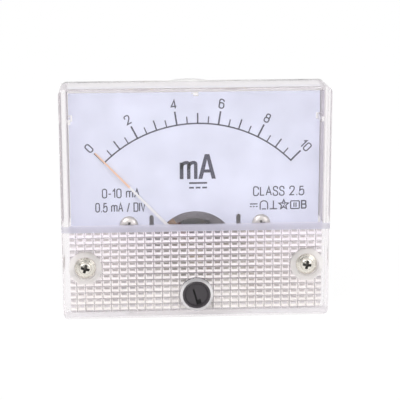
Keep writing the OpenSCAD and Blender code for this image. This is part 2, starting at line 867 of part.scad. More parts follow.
// A rectangular loop round the Y axis, w wide, from its inner to its outer half height.
module loop(w, in_half, in_y0, in_y1, t) {
    translate([-w / 2, 0, 0]) difference() {
        translate([0, in_y0 - t, -in_half - t]) cube([w, in_y1 - in_y0 + 2 * t, 2 * (in_half + t)]);
        translate([-1, in_y0, -in_half]) cube([w + 2, in_y1 - in_y0, 2 * in_half]);
    }
}

module coil_former() {
    color([0.80, 0.81, 0.83]) at_rest() loop(former_w, former_half, former_in_y, former_in_back, former_t);
}

module coil_winding() {
    color([0.75, 0.42, 0.22]) at_rest() loop(winding_w, former_half + former_t, former_y, former_back, winding_t);
}

// A pivot staff from the coil's end towards a jewel: base disc, staff, collet and tip.
module front_pivot() {
    tip_y = bridge_back + 0.05;
    color([0.6, 0.62, 0.66]) at_rest() {
        rod(1.5, staff_base_y, coil_y);
        rod(staff_r, spring_y - 0.1, staff_base_y + eps);
        rod(collet_r, spring_y, spring_back);
        rod(tip_r, tip_y, spring_y);
    }
}

module rear_pivot() {
    tip_y = rear_bridge_y - 0.6;
    color([0.6, 0.62, 0.66]) at_rest() {
        rod(1.5, coil_back, staff_base_back);
        rod(staff_r, staff_base_back - eps, rear_spring_back + 0.1);
        rod(collet_r, rear_spring_y, rear_spring_back);
        rod(tip_r, rear_spring_back, tip_y);
    }
}

// A point on the spiral, offset from its middle line.
function spiral_point(f, side, end_angle) =
    let (r = spring_in_r + (spring_out_r - spring_in_r) * f + side * spring_t / 2,
         a = end_angle - 360 * spring_turns * (1 - f))
    [r * sin(a), r * cos(a)];

// A flat spiral that ends on its outer tag at the given angle right of upright.
module hairspring(y0, y1, end_angle) {
    steps = 18 * spring_turns;
    translate([0, 0, pivot_z]) slab(y0, y1) polygon(concat(
        [for (i = [0 : steps]) spiral_point(i / steps, 1, end_angle)],
        [for (i = [steps : -1 : 0]) spiral_point(i / steps, -1, end_angle)]));
}

module front_hairspring() {
    color([0.78, 0.62, 0.35]) hairspring(spring_y, spring_back, 0);
}

module rear_hairspring() {
    color([0.78, 0.62, 0.35]) hairspring(rear_spring_y, rear_spring_back, 180);
}

// ---- Zero adjuster ----

module zero_adjuster() {
    color([0.08, 0.08, 0.09]) translate([0, 0, adjuster_z]) {
        difference() {
            union() {
                rod(adjuster_r, head_y, head_seat - turn_gap);
                rod(shaft_r, head_seat - turn_gap - eps, clip_back - clip_t);
                rod(groove_r, head_seat - turn_gap - eps, shaft_back);
                rod(shaft_r - 0.1, clip_back + 0.02, shaft_back);
            }
            rod(dish_r, head_y - 1, dish_y);
            rotate([0, -adjuster_slot_angle, 0]) translate([-adjuster_slot_w / 2, dish_y - 1, -slot_down]) {
                cube([adjuster_slot_w, 1 + slot_depth, slot_up + slot_down]);
                cube([adjuster_mark_w, 1 + slot_depth, adjuster_mark_w]);
            }
        }
        translate([0, 0, throw]) rod(throw_pin_r, shaft_back - eps, lever_back - 0.02);
    }
}

// An open ring in the groove behind the cover's sleeve.
module adjuster_clip() {
    color([0.7, 0.7, 0.72]) translate([0, 0, adjuster_z]) difference() {
        rod(shaft_r + 0.9, clip_back - clip_t, clip_back);
        rod(groove_r, clip_back - 1, clip_back + 1);
        translate([0, clip_back, -shaft_r - 1]) cube([1.6, 2, 2 * shaft_r], center = true);
    }
}

// The lever turns on the front jewel screw; its fork takes the adjuster's pin.
module zero_lever() {
    fork_w = 2.6;
    fork_end = fork_reach + 1.3;
    slot_half = throw_pin_r + turn_gap + 0.03;
    color([0.80, 0.80, 0.82]) translate([0, 0, pivot_z]) {
        slab(lever_y, lever_back) difference() {
            union() {
                circle(lever_r);
                translate([-fork_w / 2, -fork_end]) square([fork_w, fork_end]);
                translate([-0.4, 0]) square([0.8, tag_in_r + tag_t]);
            }
            circle(jewel_r + turn_gap);
            translate([-slot_half, -fork_end - 1]) square([2 * slot_half, fork_end - fork_reach + 1 + throw_pin_r + 0.6]);
        }
        translate([-0.4, lever_y, tag_in_r]) cube([0.8, spring_back - lever_y, tag_t]);
    }
}

// ---- Terminals ----

module terminal_studs() {
    color([0.80, 0.68, 0.36]) pair(terminal_x) {
        rod(stud_head_r, barrel_in_back - stud_head_t, barrel_in_back);
        rod(terminal_r, barrel_in_back - eps, terminal_thread_end);
        rod(terminal_end_r, terminal_thread_end - eps, terminal_thread_end + terminal_end);
    }
}

module terminal_nuts(y0) {
    color([0.80, 0.68, 0.36]) pair(terminal_x) hex_nut(terminal_af, terminal_r, y0, y0 + terminal_nut_t);
}

module terminal_inner_nuts() {
    terminal_nuts(boss_back);
}

module terminal_outer_nuts() {
    terminal_nuts(split_back);
}

module solder_lugs() {
    eye_r = terminal_r + 1.8;
    color([0.78, 0.78, 0.8]) pair(terminal_x) slab(inner_nut_back, lug_back) difference() {
        union() {
            circle(eye_r);
            translate([-lug_w / 2, 0]) square([lug_w, lug_l]);
            translate([0, lug_l]) circle(lug_w / 2);
        }
        circle(terminal_r + washer_gap);
        translate([0, lug_l]) circle(lug_w / 4);
    }
}

module terminal_washers() {
    color([0.78, 0.78, 0.8]) pair(terminal_x) ring(terminal_washer_r, terminal_r + washer_gap, lug_back, flat_back);
}

module terminal_spring_washers() {
    color([0.7, 0.7, 0.72]) pair(terminal_x) difference() {
        ring(spring_washer_r, terminal_r + washer_gap, flat_back, split_back);
        translate([0, flat_back + spring_washer_t / 2, terminal_r + 1])
            rotate([0, 0, 25]) cube([0.5, 3, 3], center = true);
    }
}

// One wire from each side's bridge foot to its terminal's head, in straight runs.
module lead_wires() {
    r = 0.4;
    foot_y = plate_back + foot_t + screw_tail + r;
    head_y = barrel_in_back - stud_head_t - r;
    route = [[foot_x, foot_y, pivot_z], [foot_x - 0.5, foot_y + 1.5, pivot_z + 3],
             [terminal_x - 2, head_y - 2, -3], [terminal_x - 1.2, head_y, -1.2]];
    color([0.75, 0.15, 0.12]) mirrored() {
        for (i = [0 : len(route) - 2])
            wire_run(route[i], route[i + 1], r);
    }
}

// A straight run of wire between two points, a little past each so that runs join at the bends.
module wire_run(a, b, r) {
    way = b - a;
    length = norm(way);
    past = r / 2;
    translate(a) rotate([0, acos(way[2] / length), atan2(way[1], way[0])])
        translate([0, 0, -past]) cylinder(r = r, h = length + 2 * past);
}

base_housing();
front_cover();
dial_plate();
dial_screws();
dial_pillars();
mounting_screws();
mounting_washers();
mounting_nuts();
movement_plate();
yoke_ring();
core_magnet();
core_strap();
core_screws();
magnetic_shunt();
front_bridge();
rear_bridge();
bridge_screws();
front_jewel_screw();
rear_jewel_screw();
front_lock_nut();
rear_lock_nut();
pointer_stops();
pointer();
balance_weights();
coil_former();
coil_winding();
front_pivot();
rear_pivot();
front_hairspring();
rear_hairspring();
zero_adjuster();
adjuster_clip();
zero_lever();
terminal_studs();
terminal_inner_nuts();
solder_lugs();
terminal_washers();
terminal_spring_washers();
terminal_outer_nuts();
lead_wires();
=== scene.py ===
import json
import math

import bmesh
import bpy
from bpy.props import FloatProperty, FloatVectorProperty, IntProperty
from mathutils import Matrix, Vector


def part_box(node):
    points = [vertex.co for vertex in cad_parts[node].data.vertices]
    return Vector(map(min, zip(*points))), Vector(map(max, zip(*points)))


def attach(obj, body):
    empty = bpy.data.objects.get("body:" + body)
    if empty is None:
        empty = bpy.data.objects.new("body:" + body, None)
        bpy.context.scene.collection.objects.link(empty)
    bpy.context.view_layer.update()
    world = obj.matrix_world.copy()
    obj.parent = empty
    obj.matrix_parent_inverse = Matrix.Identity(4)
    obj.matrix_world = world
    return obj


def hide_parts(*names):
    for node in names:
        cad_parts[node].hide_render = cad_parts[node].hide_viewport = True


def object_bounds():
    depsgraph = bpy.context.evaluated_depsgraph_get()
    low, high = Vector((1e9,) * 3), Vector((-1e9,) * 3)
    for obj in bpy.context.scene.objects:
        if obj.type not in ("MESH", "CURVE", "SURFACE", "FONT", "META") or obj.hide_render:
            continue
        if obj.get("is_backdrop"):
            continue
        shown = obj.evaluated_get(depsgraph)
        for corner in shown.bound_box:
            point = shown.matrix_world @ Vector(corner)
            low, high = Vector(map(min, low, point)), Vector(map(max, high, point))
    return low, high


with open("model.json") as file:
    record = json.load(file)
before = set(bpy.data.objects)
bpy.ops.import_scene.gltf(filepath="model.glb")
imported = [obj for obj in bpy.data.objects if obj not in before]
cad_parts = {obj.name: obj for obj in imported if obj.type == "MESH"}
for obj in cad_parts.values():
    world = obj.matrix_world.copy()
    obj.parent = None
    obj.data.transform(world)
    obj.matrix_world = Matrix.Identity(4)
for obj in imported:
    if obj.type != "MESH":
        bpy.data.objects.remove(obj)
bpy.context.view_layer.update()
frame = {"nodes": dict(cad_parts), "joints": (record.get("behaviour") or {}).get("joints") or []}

bl_info = {
    "name": "Panel meter",
    "version": (1, 0, 0),
    "blender": (4, 5, 0),
    "location": "View3D > Sidebar > Meter",
    "description": "Dresses a moving coil panel meter: clear mouldings, printed dial, movement and stage",
    "category": "Object",
}

MM = 0.001
NODES = frame["nodes"]
PIVOT = next(Vector(j["pos_m"]) for j in frame["joints"] if j["name"] == "pointer_swing")
DIAL_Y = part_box("dial_plate")[0].y
WHITE = (1.0, 1.0, 1.0)
CLEAR_BOUNCES = 32
GROOVE_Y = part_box("front_cover")[0].y + 2.0 * MM      # bottoms of the lower panel's grooves
CUTOUT_R = 10 * MM                                    # the dial's arched cut-out, about the pivot
CUTOUT_SHADE_WIDTH = 0.12 * MM                              # width of the painted shade line round it
CAVITY_HALF = 30.2 * MM                               # half the width of the cover's inside
SCREW_AXIS = (26.6 * MM, -15.2 * MM)                  # a mounting screw's axis, as x and z
COLUMN_R = 3.95 * MM                                  # the cover's columns round the mounting screws
PRISM_ROW = 1.5 * MM                                  # height of a row of prisms
LIT_SHARE = (0.55, 0.8)                               # the part of a row whose backs get a painted highlight
WINDOW_Z, SLOPE_Z = -4.7 * MM, -6.4 * MM              # where the slope starts and ends
SLOPE_DEPTH = (-14 * MM, -9 * MM)                     # y of the slope's front and back
PANEL_FOOT = -30 * MM                                 # the lower panel's bottom
UPPER_TILT = (0.2, 1.0)                               # product of an upper flank's normal's Y and Z
RIM_FACING = (-0.1, 0.75)                             # size of a rim face's normal's Y
INK_ROOT = 0.01 * MM                                  # how far the print reaches into the enamel
FLOOR_GAP = 0.2 * MM                                  # between the meter and the floor
THREAD_M4, PITCH_M4 = 1.97, 0.7                       # a stud's outer radius and pitch, in millimetres
FLOOR_GLOW, GLOW_SHARE = 1.03, 0.93                   # the floor's own white where it is seen directly
THROW = 0.9 * MM                                      # from the adjuster's axis to the pin behind it
THROW_PIN = 0.4                                       # that pin's radius, in millimetres

# Depths in the lower panel behind the bottoms of its grooves, in millimetres.
RING, GROOVES, FLANKS, BACKS = (-1.8, -1.02), (-0.02, 0.13), (0.13, 0.47), (0.47, 0.53)


# ---- Values that a user may change ----

def length(name, description, default):
    """A length in metres, given here in millimetres."""
    return FloatProperty(name=name, description=description, default=default * MM,
                         min=0.0, unit="LENGTH", subtype="DISTANCE")


def colour(name, description, default):
    return FloatVectorProperty(name=name, description=description, default=default,
                               size=3, min=0.0, max=1.0, subtype="COLOR")


def angle(name, description, default):
    return FloatProperty(name=name, description=description, default=math.radians(default),
                         unit="ROTATION", subtype="ANGLE")


def amount(name, description, default, **limits):
    return FloatProperty(name=name, description=description, default=default, **limits)


class MeterPrint(bpy.types.PropertyGroup):
    """Sizes of the dial's print"""
    offset: length("Offset", "How far the scale stands to the right of the pivot", 0.7)
    arc_radius: length("Arc radius", "Radius of the scale's arc about its centre", 31.6)
    arc_line: length("Arc line", "Width of the arc's line", 0.34)
    sweep: angle("Sweep", "Angle between the scale's two ends", 90.0)
    divisions: IntProperty(name="Divisions", description="Number of scale divisions", default=20, min=2)
    long_tick: length("Long tick", "Length of the numbered ticks", 3.3)
    middle_tick: length("Middle tick", "Length of the ticks between numbers", 2.5)
    short_tick: length("Short tick", "Length of the shortest ticks", 1.75)
    heavy_line: length("Heavy line", "Width of the numbered ticks", 0.40)
    light_line: length("Light line", "Width of the shortest ticks", 0.28)
    numeral_radius: length("Numeral radius", "Radius of the numerals' centres", 36.65)
    numeral_height: length("Numeral height", "Height of the numerals", 2.25)
    numeral_line: length("Numeral line", "Width of the numerals' strokes", 0.29)
    legend_height: length("Legend height", "Height of the small lettering", 2.3)
    legend_line: length("Legend line", "Width of the small lettering's strokes", 0.27)
    ink_thickness: length("Ink thickness", "How far the print stands on the enamel", 0.02)
    ink: colour("Ink", "Colour of the dial's print", (0.058, 0.056, 0.086))


class MeterFinish(bpy.types.PropertyGroup):
    """Colours of the meter's finishes"""
    cover_tint: colour("Cover", "Tint of the clear cover", (0.972, 0.962, 0.985))
    # Painted shade: the bottoms of the lower panel's grooves are dark, paler towards the sides.
    groove_shade: colour("Grooves", "Bottoms of the lower panel's grooves", (0.20, 0.17, 0.185))
    groove_shade_edge: colour("Grooves, edge", "Bottoms of the grooves towards the sides", (0.78, 0.745, 0.75))
    # Painted shade: the upper flanks of the prisms are matt grey, paler towards the sides.
    upper_flank_shade: colour("Upper flanks", "Matt upper flanks of the panel's prisms", (0.56, 0.53, 0.53))
    upper_flank_shade_edge: colour("Upper flanks, edge", "Upper flanks towards the sides", (0.93, 0.905, 0.91))
    # Painted highlight: the lower and side flanks of the prisms are matt near-white, warmer at the bottom of
    # the panel.
    lower_flank_highlight: colour("Lower flanks", "Matt lower flanks of the panel's prisms", (1.0, 0.955, 0.985))
    lower_flank_highlight_low: colour("Lower flanks, low", "Lower flanks at the bottom of the panel", (1.0, 0.975, 0.925))
    # Painted shade: the prisms' backs are darker in the middle of the panel and paler towards its sides; warm
    # and cool tones change at random.
    back_shade_warm: colour("Prism backs, warm", "Warmer tone of the prisms' backs", (0.52, 0.465, 0.39))
    back_shade_cool: colour("Prism backs, cool", "Cooler tone of the prisms' backs", (0.43, 0.41, 0.47))
    back_shade_edge: colour("Prism backs, edge", "Prisms' backs towards the sides", (0.84, 0.79, 0.79))
    ring_tone: colour("Ring", "Tone of the raised ring round the zero adjuster", (0.90, 0.88, 0.90))
    column_tone: colour("Columns", "Tone of the columns round the mounting screws", (0.97, 0.94, 0.925))
    rim_tone: colour("Rim", "Tone of the cover's outer rim", (1.0, 0.945, 0.98))
    # Painted shade: the cover's inner side walls are grey, for the shadow line beside the dial's edges.
    inner_wall_shade: colour("Inner walls", "Tone of the cover's inner side walls", (0.60, 0.56, 0.585))
    slope_tone: colour("Slope", "Tone of the slope between window and lower panel", (0.95, 0.93, 0.985))
    slope_matt: colour("Slope, matt", "Tone of the matt part of the slope", (0.72, 0.71, 0.82))
    # Painted shade: a dark line round the dial's cut-out stands for the shadow of its edge.
    cutout_shade: colour("Cut-out shade", "Tone of the bare edge of the dial's cut-out", (0.16, 0.15, 0.17))
    base_tint: colour("Base", "Tint of the clear base", (0.965, 0.95, 0.94))
    enamel: colour("Enamel", "Enamel of the dial plate", (0.77, 0.80, 0.905))
    # Makes the dial darker and warmer below the printed field.
    enamel_edge: colour("Enamel edge", "Thin enamel below the printed field", (0.66, 0.62, 0.575))
    pointer_white: colour("Pointer white", "Paint of the pointer near its hub", (0.86, 0.86, 0.84))
    pointer_orange: colour("Pointer orange", "Paint of the pointer's tip", (0.86, 0.57, 0.39))
    painted_from: length("Orange from", "Distance from the pivot where the orange starts", 24.0)
    nickel: colour("Nickel", "Plated screws", (0.80, 0.765, 0.70))
    steel: colour("Steel", "Bare steel", (0.40, 0.385, 0.39))
    zinc: colour("Zinc", "Zinc plated washers and nuts", (0.62, 0.63, 0.66))
    brass: colour("Brass", "Bright brass", (0.72, 0.52, 0.22))
    magnet: colour("Magnet", "Ground magnet alloy", (0.30, 0.28, 0.29))
    aluminium: colour("Aluminium", "Bare aluminium", (0.68, 0.69, 0.72))
    copper: colour("Copper", "Enamelled winding wire", (0.52, 0.17, 0.06))
    shunt: colour("Shunt", "Copper flashed steel", (0.58, 0.40, 0.27))
    bronze: colour("Bronze", "Phosphor bronze ribbon", (0.62, 0.38, 0.14))
    black: colour("Black", "Moulded black of the zero adjuster", (0.050, 0.043, 0.050))
    sleeve: colour("Sleeve", "Dark sleeves over the stops", (0.03, 0.03, 0.034))
    wire: colour("Wire", "Insulation of the leads", (0.42, 0.03, 0.02))


class MeterStage(bpy.types.PropertyGroup):
    """Camera, lamps and floor"""
    azimuth: angle("Azimuth", "Camera's turn round the meter", -3.11)
    elevation: angle("Elevation", "Camera's height above the horizon", 12.86)
    roll: angle("Roll", "Camera's turn about its own axis", 0.24)
    distance: length("Distance", "Camera's distance from the panel's centre", 335.4)
    lens: amount("Lens", "Focal length in millimetres", 122.75, min=1.0)
    shift_x: amount("Shift X", "Camera's sideways shift", 0.01655)
    shift_y: amount("Shift Y", "Camera's upward shift", -0.01675)
    key_power: amount("Key lamp", "Power of the key lamp in watts", 1.42, min=0.0)
    fill_power: amount("Fill lamp", "Power of the fill lamp in watts", 1.0, min=0.0)
    sky: amount("Sky", "Strength of the soft light all round", 0.60, min=0.0)
    opening: amount("Opening", "Brightness of the studio's open front in reflections", 0.25, min=0.0, max=1.0)
    floor: colour("Floor", "Colour of the floor", (0.90, 0.895, 0.885))


# ---- Mesh tools ----

def at_rest_turn():
    """Turn that brings what is drawn upright to the pointer's angle at rest."""
    lo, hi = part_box("pointer")
    reach = Vector((lo.x, hi.z)) - Vector((PIVOT.x, PIVOT.z))
    return math.atan2(-reach.x, reach.y)


def smooth(mesh, soft_angle=35.0):
    mesh.shade_smooth()
    mesh.set_sharp_from_angle(angle=math.radians(soft_angle))


def add_piece(name, bm, body, finish, soft_angle=35.0):
    """Makes a piece from a bmesh, smooths it below soft_angle and lets it ride on a body."""
    bmesh.ops.recalc_face_normals(bm, faces=bm.faces)
    mesh = bpy.data.meshes.new(name)
    bm.to_mesh(mesh)
    bm.free()
    smooth(mesh, soft_angle)
    piece = bpy.data.objects.new(name, mesh)
    bpy.context.scene.collection.objects.link(piece)
    mesh.materials.append(finishes()[finish])
    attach(piece, body)
    return piece


def paint(finish, *names):
    """Gives CAD nodes a finish."""
    for name in names:
        slots = NODES[name].data.materials
        slots.clear()
        slots.append(finishes()[finish])


def ring_of(bm, centre, side, up, radius, segments):
    return [bm.verts.new(centre + radius * (math.cos(t) * side + math.sin(t) * up))
            for t in (2 * math.pi * i / segments for i in range(segments))]


def bridge_rings(bm, a, b):
    count = len(a)
    for i in range(count):
        bm.faces.new((a[i], a[(i + 1) % count], b[(i + 1) % count], b[i]))


def lathe(bm, centre, profile, segments=64):
    """A closed solid turned about the Y axis through centre. The profile is (radius, y) in millimetres."""
    x, z = centre
    across, up = Vector((1, 0, 0)), Vector((0, 0, 1))
    rings = [ring_of(bm, Vector((x, y * MM, z)), across, up, max(radius, 0.001) * MM, segments)
             for radius, y in profile]
    for a, b in zip(rings, rings[1:]):
        bridge_rings(bm, a, b)
    bm.faces.new(rings[0])
    bm.faces.new(rings[-1])


def thread(bm, centre, radius, pitch, y0, y1, segments=36):
    """A single thread about the Y axis through centre, between y0 and y1, all in millimetres."""
    x, z = centre
    depth = 0.54 * pitch
    profile = ((0.0, 0.0), (0.14, 0.0), (0.5, depth), (0.64, depth))
    steps = len(profile)
    turns = math.ceil((y1 - y0) / pitch) + 2
    grid = []
    for row in range(turns * steps + 1):
        along, sunk = profile[row % steps]
        start = y0 + pitch * (row // steps + along - 1)
        line = []
        for i in range(segments):
            t = 2 * math.pi * i / segments
            y = min(max(start + pitch * i / segments, y0), y1)
            r = radius - sunk
            line.append(bm.verts.new((x + r * MM * math.cos(t), y * MM, z + r * MM * math.sin(t))))
        grid.append(line)
    for row in range(len(grid) - steps - 1):
        for i in range(segments):
            # The last face of a turn meets the first one of the next.
            beside, column = (row + steps, 0) if i == segments - 1 else (row, i + 1)
            corners = (grid[row][i], grid[beside][column], grid[beside + 1][column], grid[row + 1][i])
            heights = {round(v.co.y, 8) for v in corners}
            if heights != {round(y0 * MM, 8)} and heights != {round(y1 * MM, 8)}:
                bm.faces.new(corners)
    bmesh.ops.delete(bm, geom=[v for v in bm.verts if not v.link_faces], context="VERTS")
    bmesh.ops.remove_doubles(bm, verts=bm.verts, dist=1e-8)
    edges = [e for e in bm.edges if e.is_boundary]
    bmesh.ops.holes_fill(bm, edges=edges, sides=0)


def tube(bm, points, radius, segments=10, closed=False):
    """A round wire of the given radius along points, in metres."""
    count = len(points)
    rings = []
    side = None
    for i, point in enumerate(points):
        if closed:
            way = points[(i + 1) % count] - points[i - 1]
        else:
            way = points[min(i + 1, count - 1)] - points[max(i - 1, 0)]
        way.normalize()
        if side is None:
            side = way.orthogonal().normalized()
        side = (side - side.dot(way) * way).normalized()
        rings.append(ring_of(bm, point, side, way.cross(side), radius, segments))
    for a, b in zip(rings, rings[1:]):
        bridge_rings(bm, a, b)
    if closed:
        first = rings[0]
        shift = min(range(segments), key=lambda s: (rings[-1][0].co - first[s].co).length)
        bridge_rings(bm, rings[-1], first[shift:] + first[:shift])
    else:
        bm.faces.new(rings[0])
        bm.faces.new(rings[-1])


def carve(piece, cutter_bm, finish):
    """Cuts a closed form out of a piece, and leaves the result as its mesh. The cut faces get the finish."""
    cutter_mesh = bpy.data.meshes.new("cutter")
    bmesh.ops.recalc_face_normals(cutter_bm, faces=cutter_bm.faces)
    cutter_bm.to_mesh(cutter_mesh)
    cutter_bm.free()
    cutter_mesh.materials.append(finishes()[finish])
    cutter = bpy.data.objects.new("cutter", cutter_mesh)
    bpy.context.scene.collection.objects.link(cutter)
    cut = piece.modifiers.new("recess", "BOOLEAN")
    cut.operation, cut.solver, cut.object = "DIFFERENCE", "EXACT", cutter
    cut.material_mode = "TRANSFER"
    shape = bpy.data.meshes.new_from_object(piece.evaluated_get(bpy.context.evaluated_depsgraph_get()))
    piece.modifiers.clear()
    piece.data = shape
    bpy.data.objects.remove(cutter)
    smooth(shape)


# ---- Node tools ----

def feed(tree, socket, value):
    """Links a socket to an input, or sets the input to a number, a vector or a colour."""
    if isinstance(value, bpy.types.NodeSocket):
        tree.links.new(value, socket)
    elif socket.type == "RGBA" and len(value) == 3:
        socket.default_value = (*value, 1)
    else:
        socket.default_value = value


def add_node(tree, kind, *inputs, **values):
    """A node with its inputs and properties set by name, and its first inputs set in order."""
    node = tree.nodes.new(kind)
    for key, value in values.items():
        if key in node.inputs:
            feed(tree, node.inputs[key], value)
        else:
            setattr(node, key, value)
    for socket, value in zip(node.inputs, inputs):
        feed(tree, socket, value)
    return node


def compute(tree, operation, *values):
    return add_node(tree, "ShaderNodeMath", *values, operation=operation).outputs["Value"]


def within(tree, value, low, high):
    """1 where a value lies between low and high."""
    return compute(tree, "COMPARE", value, (low + high) / 2, (high - low) / 2)


def both(tree, first, second):
    return compute(tree, "MULTIPLY", first, second)


def fade(tree, value, start, end, low=0.0, high=1.0, **kind):
    """Brings a value from the range start to end into the range low to high."""
    return add_node(tree, "ShaderNodeMapRange", value, start, end, low, high, **kind).outputs["Result"]


def blend(tree, share, first, second):
    """Two numbers or two colours: the first where the share is 0, the second where it is 1."""
    kind, data_type = ("VALUE", "FLOAT") if isinstance(second, float) else ("RGBA", "RGBA")
    node = add_node(tree, "ShaderNodeMix", share, data_type=data_type)
    for name, value in (("A", first), ("B", second)):
        feed(tree, next(s for s in node.inputs if s.name == name and s.type == kind), value)
    return next(s for s in node.outputs if s.type == kind)


def mix_shaders(tree, share, first, second):
    return add_node(tree, "ShaderNodeMixShader", share, first, second).outputs["Shader"]


def object_place(tree, stretch=(1, 1, 1)):
    """Place on the object, with each axis stretched."""
    place = add_node(tree, "ShaderNodeTexCoord").outputs["Object"]
    return add_node(tree, "ShaderNodeMapping", place, Scale=stretch).outputs["Vector"]


def axes_of(tree, vector):
    return tuple(add_node(tree, "ShaderNodeSeparateXYZ", vector).outputs)


def grain(tree, place, scale, detail=3.0):
    return add_node(tree, "ShaderNodeTexNoise", place, Scale=scale, Detail=detail).outputs["Fac"]


def spread(tree, noise, low, high):
    """Brings a noise value into the range low to high."""
    return fade(tree, noise, 0.3, 0.7, low, high)


def relief(tree, shader, source, depth, edge=0.0):
    """Fine relief of the given depth in metres over softened edges."""
    bump = add_node(tree, "ShaderNodeBump", Strength=1.0, Distance=depth, Height=source)
    if edge:
        soft = add_node(tree, "ShaderNodeBevel", samples=4, Radius=edge)
        feed(tree, bump.inputs["Normal"], soft.outputs["Normal"])
    feed(tree, shader.inputs["Normal"], bump.outputs["Normal"])


def near_axis(tree, x, z, axis, radius):
    """1 inside a radius about an axis along Y."""
    away = [compute(tree, "SUBTRACT", value, at) for value, at in ((x, axis[0]), (z, axis[1]))]
    square = compute(tree, "ADD", *(both(tree, a, a) for a in away))
    return within(tree, square, -1e-9, radius * radius)


# ---- Finishes ----

def new_finish(name):
    """An empty node material: its tree and its Principled shader."""
    material = bpy.data.materials.new(name)
    material.use_nodes = True
    tree = material.node_tree
    return material, tree, tree.nodes["Principled BSDF"]


def surface_of(tree):
    return tree.nodes["Material Output"].inputs["Surface"]


def shade(value, factor):
    return tuple(min(1.0, c * factor) for c in value)


def textured(name, tone, rough, fine, broad, contrast, gloss, depth, edge, brushed=(1, 1, 1)):
    """A finish with a fine grain, a broad change of tone, uneven gloss and softened edges."""
    material, tree, shader = new_finish(name)
    texture = grain(tree, object_place(tree, brushed), fine)
    mottle = spread(tree, grain(tree, object_place(tree), broad, 2.0), 0, 1)
    tones = blend(tree, mottle, shade(tone, contrast[0]), shade(tone, contrast[1]))
    feed(tree, shader.inputs["Base Color"], tones)
    feed(tree, shader.inputs["Roughness"], spread(tree, texture, rough * gloss[0], rough * gloss[1]))
    relief(tree, shader, texture, depth, edge)
    return material


def metal(name, tone, rough, brushed=(1, 1, 1), depth=0.000004, edge=0.00012):
    """Bare or plated metal, brushed along the axis with the smallest of the three scales."""
    material = textured(name, tone, rough, 2600, 180, (0.88, 1.12), (0.75, 1.3), depth, edge, brushed)
    material.node_tree.nodes["Principled BSDF"].inputs["Metallic"].default_value = 1.0
    return material


def moulded(name, tone, rough, depth=0.000006, edge=0.0001):
    """Opaque moulded plastic or paint."""
    return textured(name, tone, rough, 1500, 120, (0.93, 1.06), (0.85, 1.2), depth, edge)


def clear_plastic(name, tint, rough, wave):
    """Clear moulding that lets the lamps' light through, so that what lies behind it is lit."""
    material, tree, shader = new_finish(name)
    for key, value in (("Base Color", tint), ("Transmission Weight", 1.0), ("IOR", 1.49)):
        feed(tree, shader.inputs[key], value)
    place = object_place(tree)
    uneven = spread(tree, grain(tree, place, 90, 4.0), rough * 0.5, rough * 1.5)
    feed(tree, shader.inputs["Roughness"], uneven)
    relief(tree, shader, grain(tree, place, 45, 1.0), wave)
    through = add_node(tree, "ShaderNodeBsdfTransparent", Color=shade(tint, 0.99)).outputs["BSDF"]
    shadow = add_node(tree, "ShaderNodeLightPath").outputs["Is Shadow Ray"]
    feed(tree, surface_of(tree), mix_shaders(tree, shadow, shader.outputs["BSDF"], through))
    return material


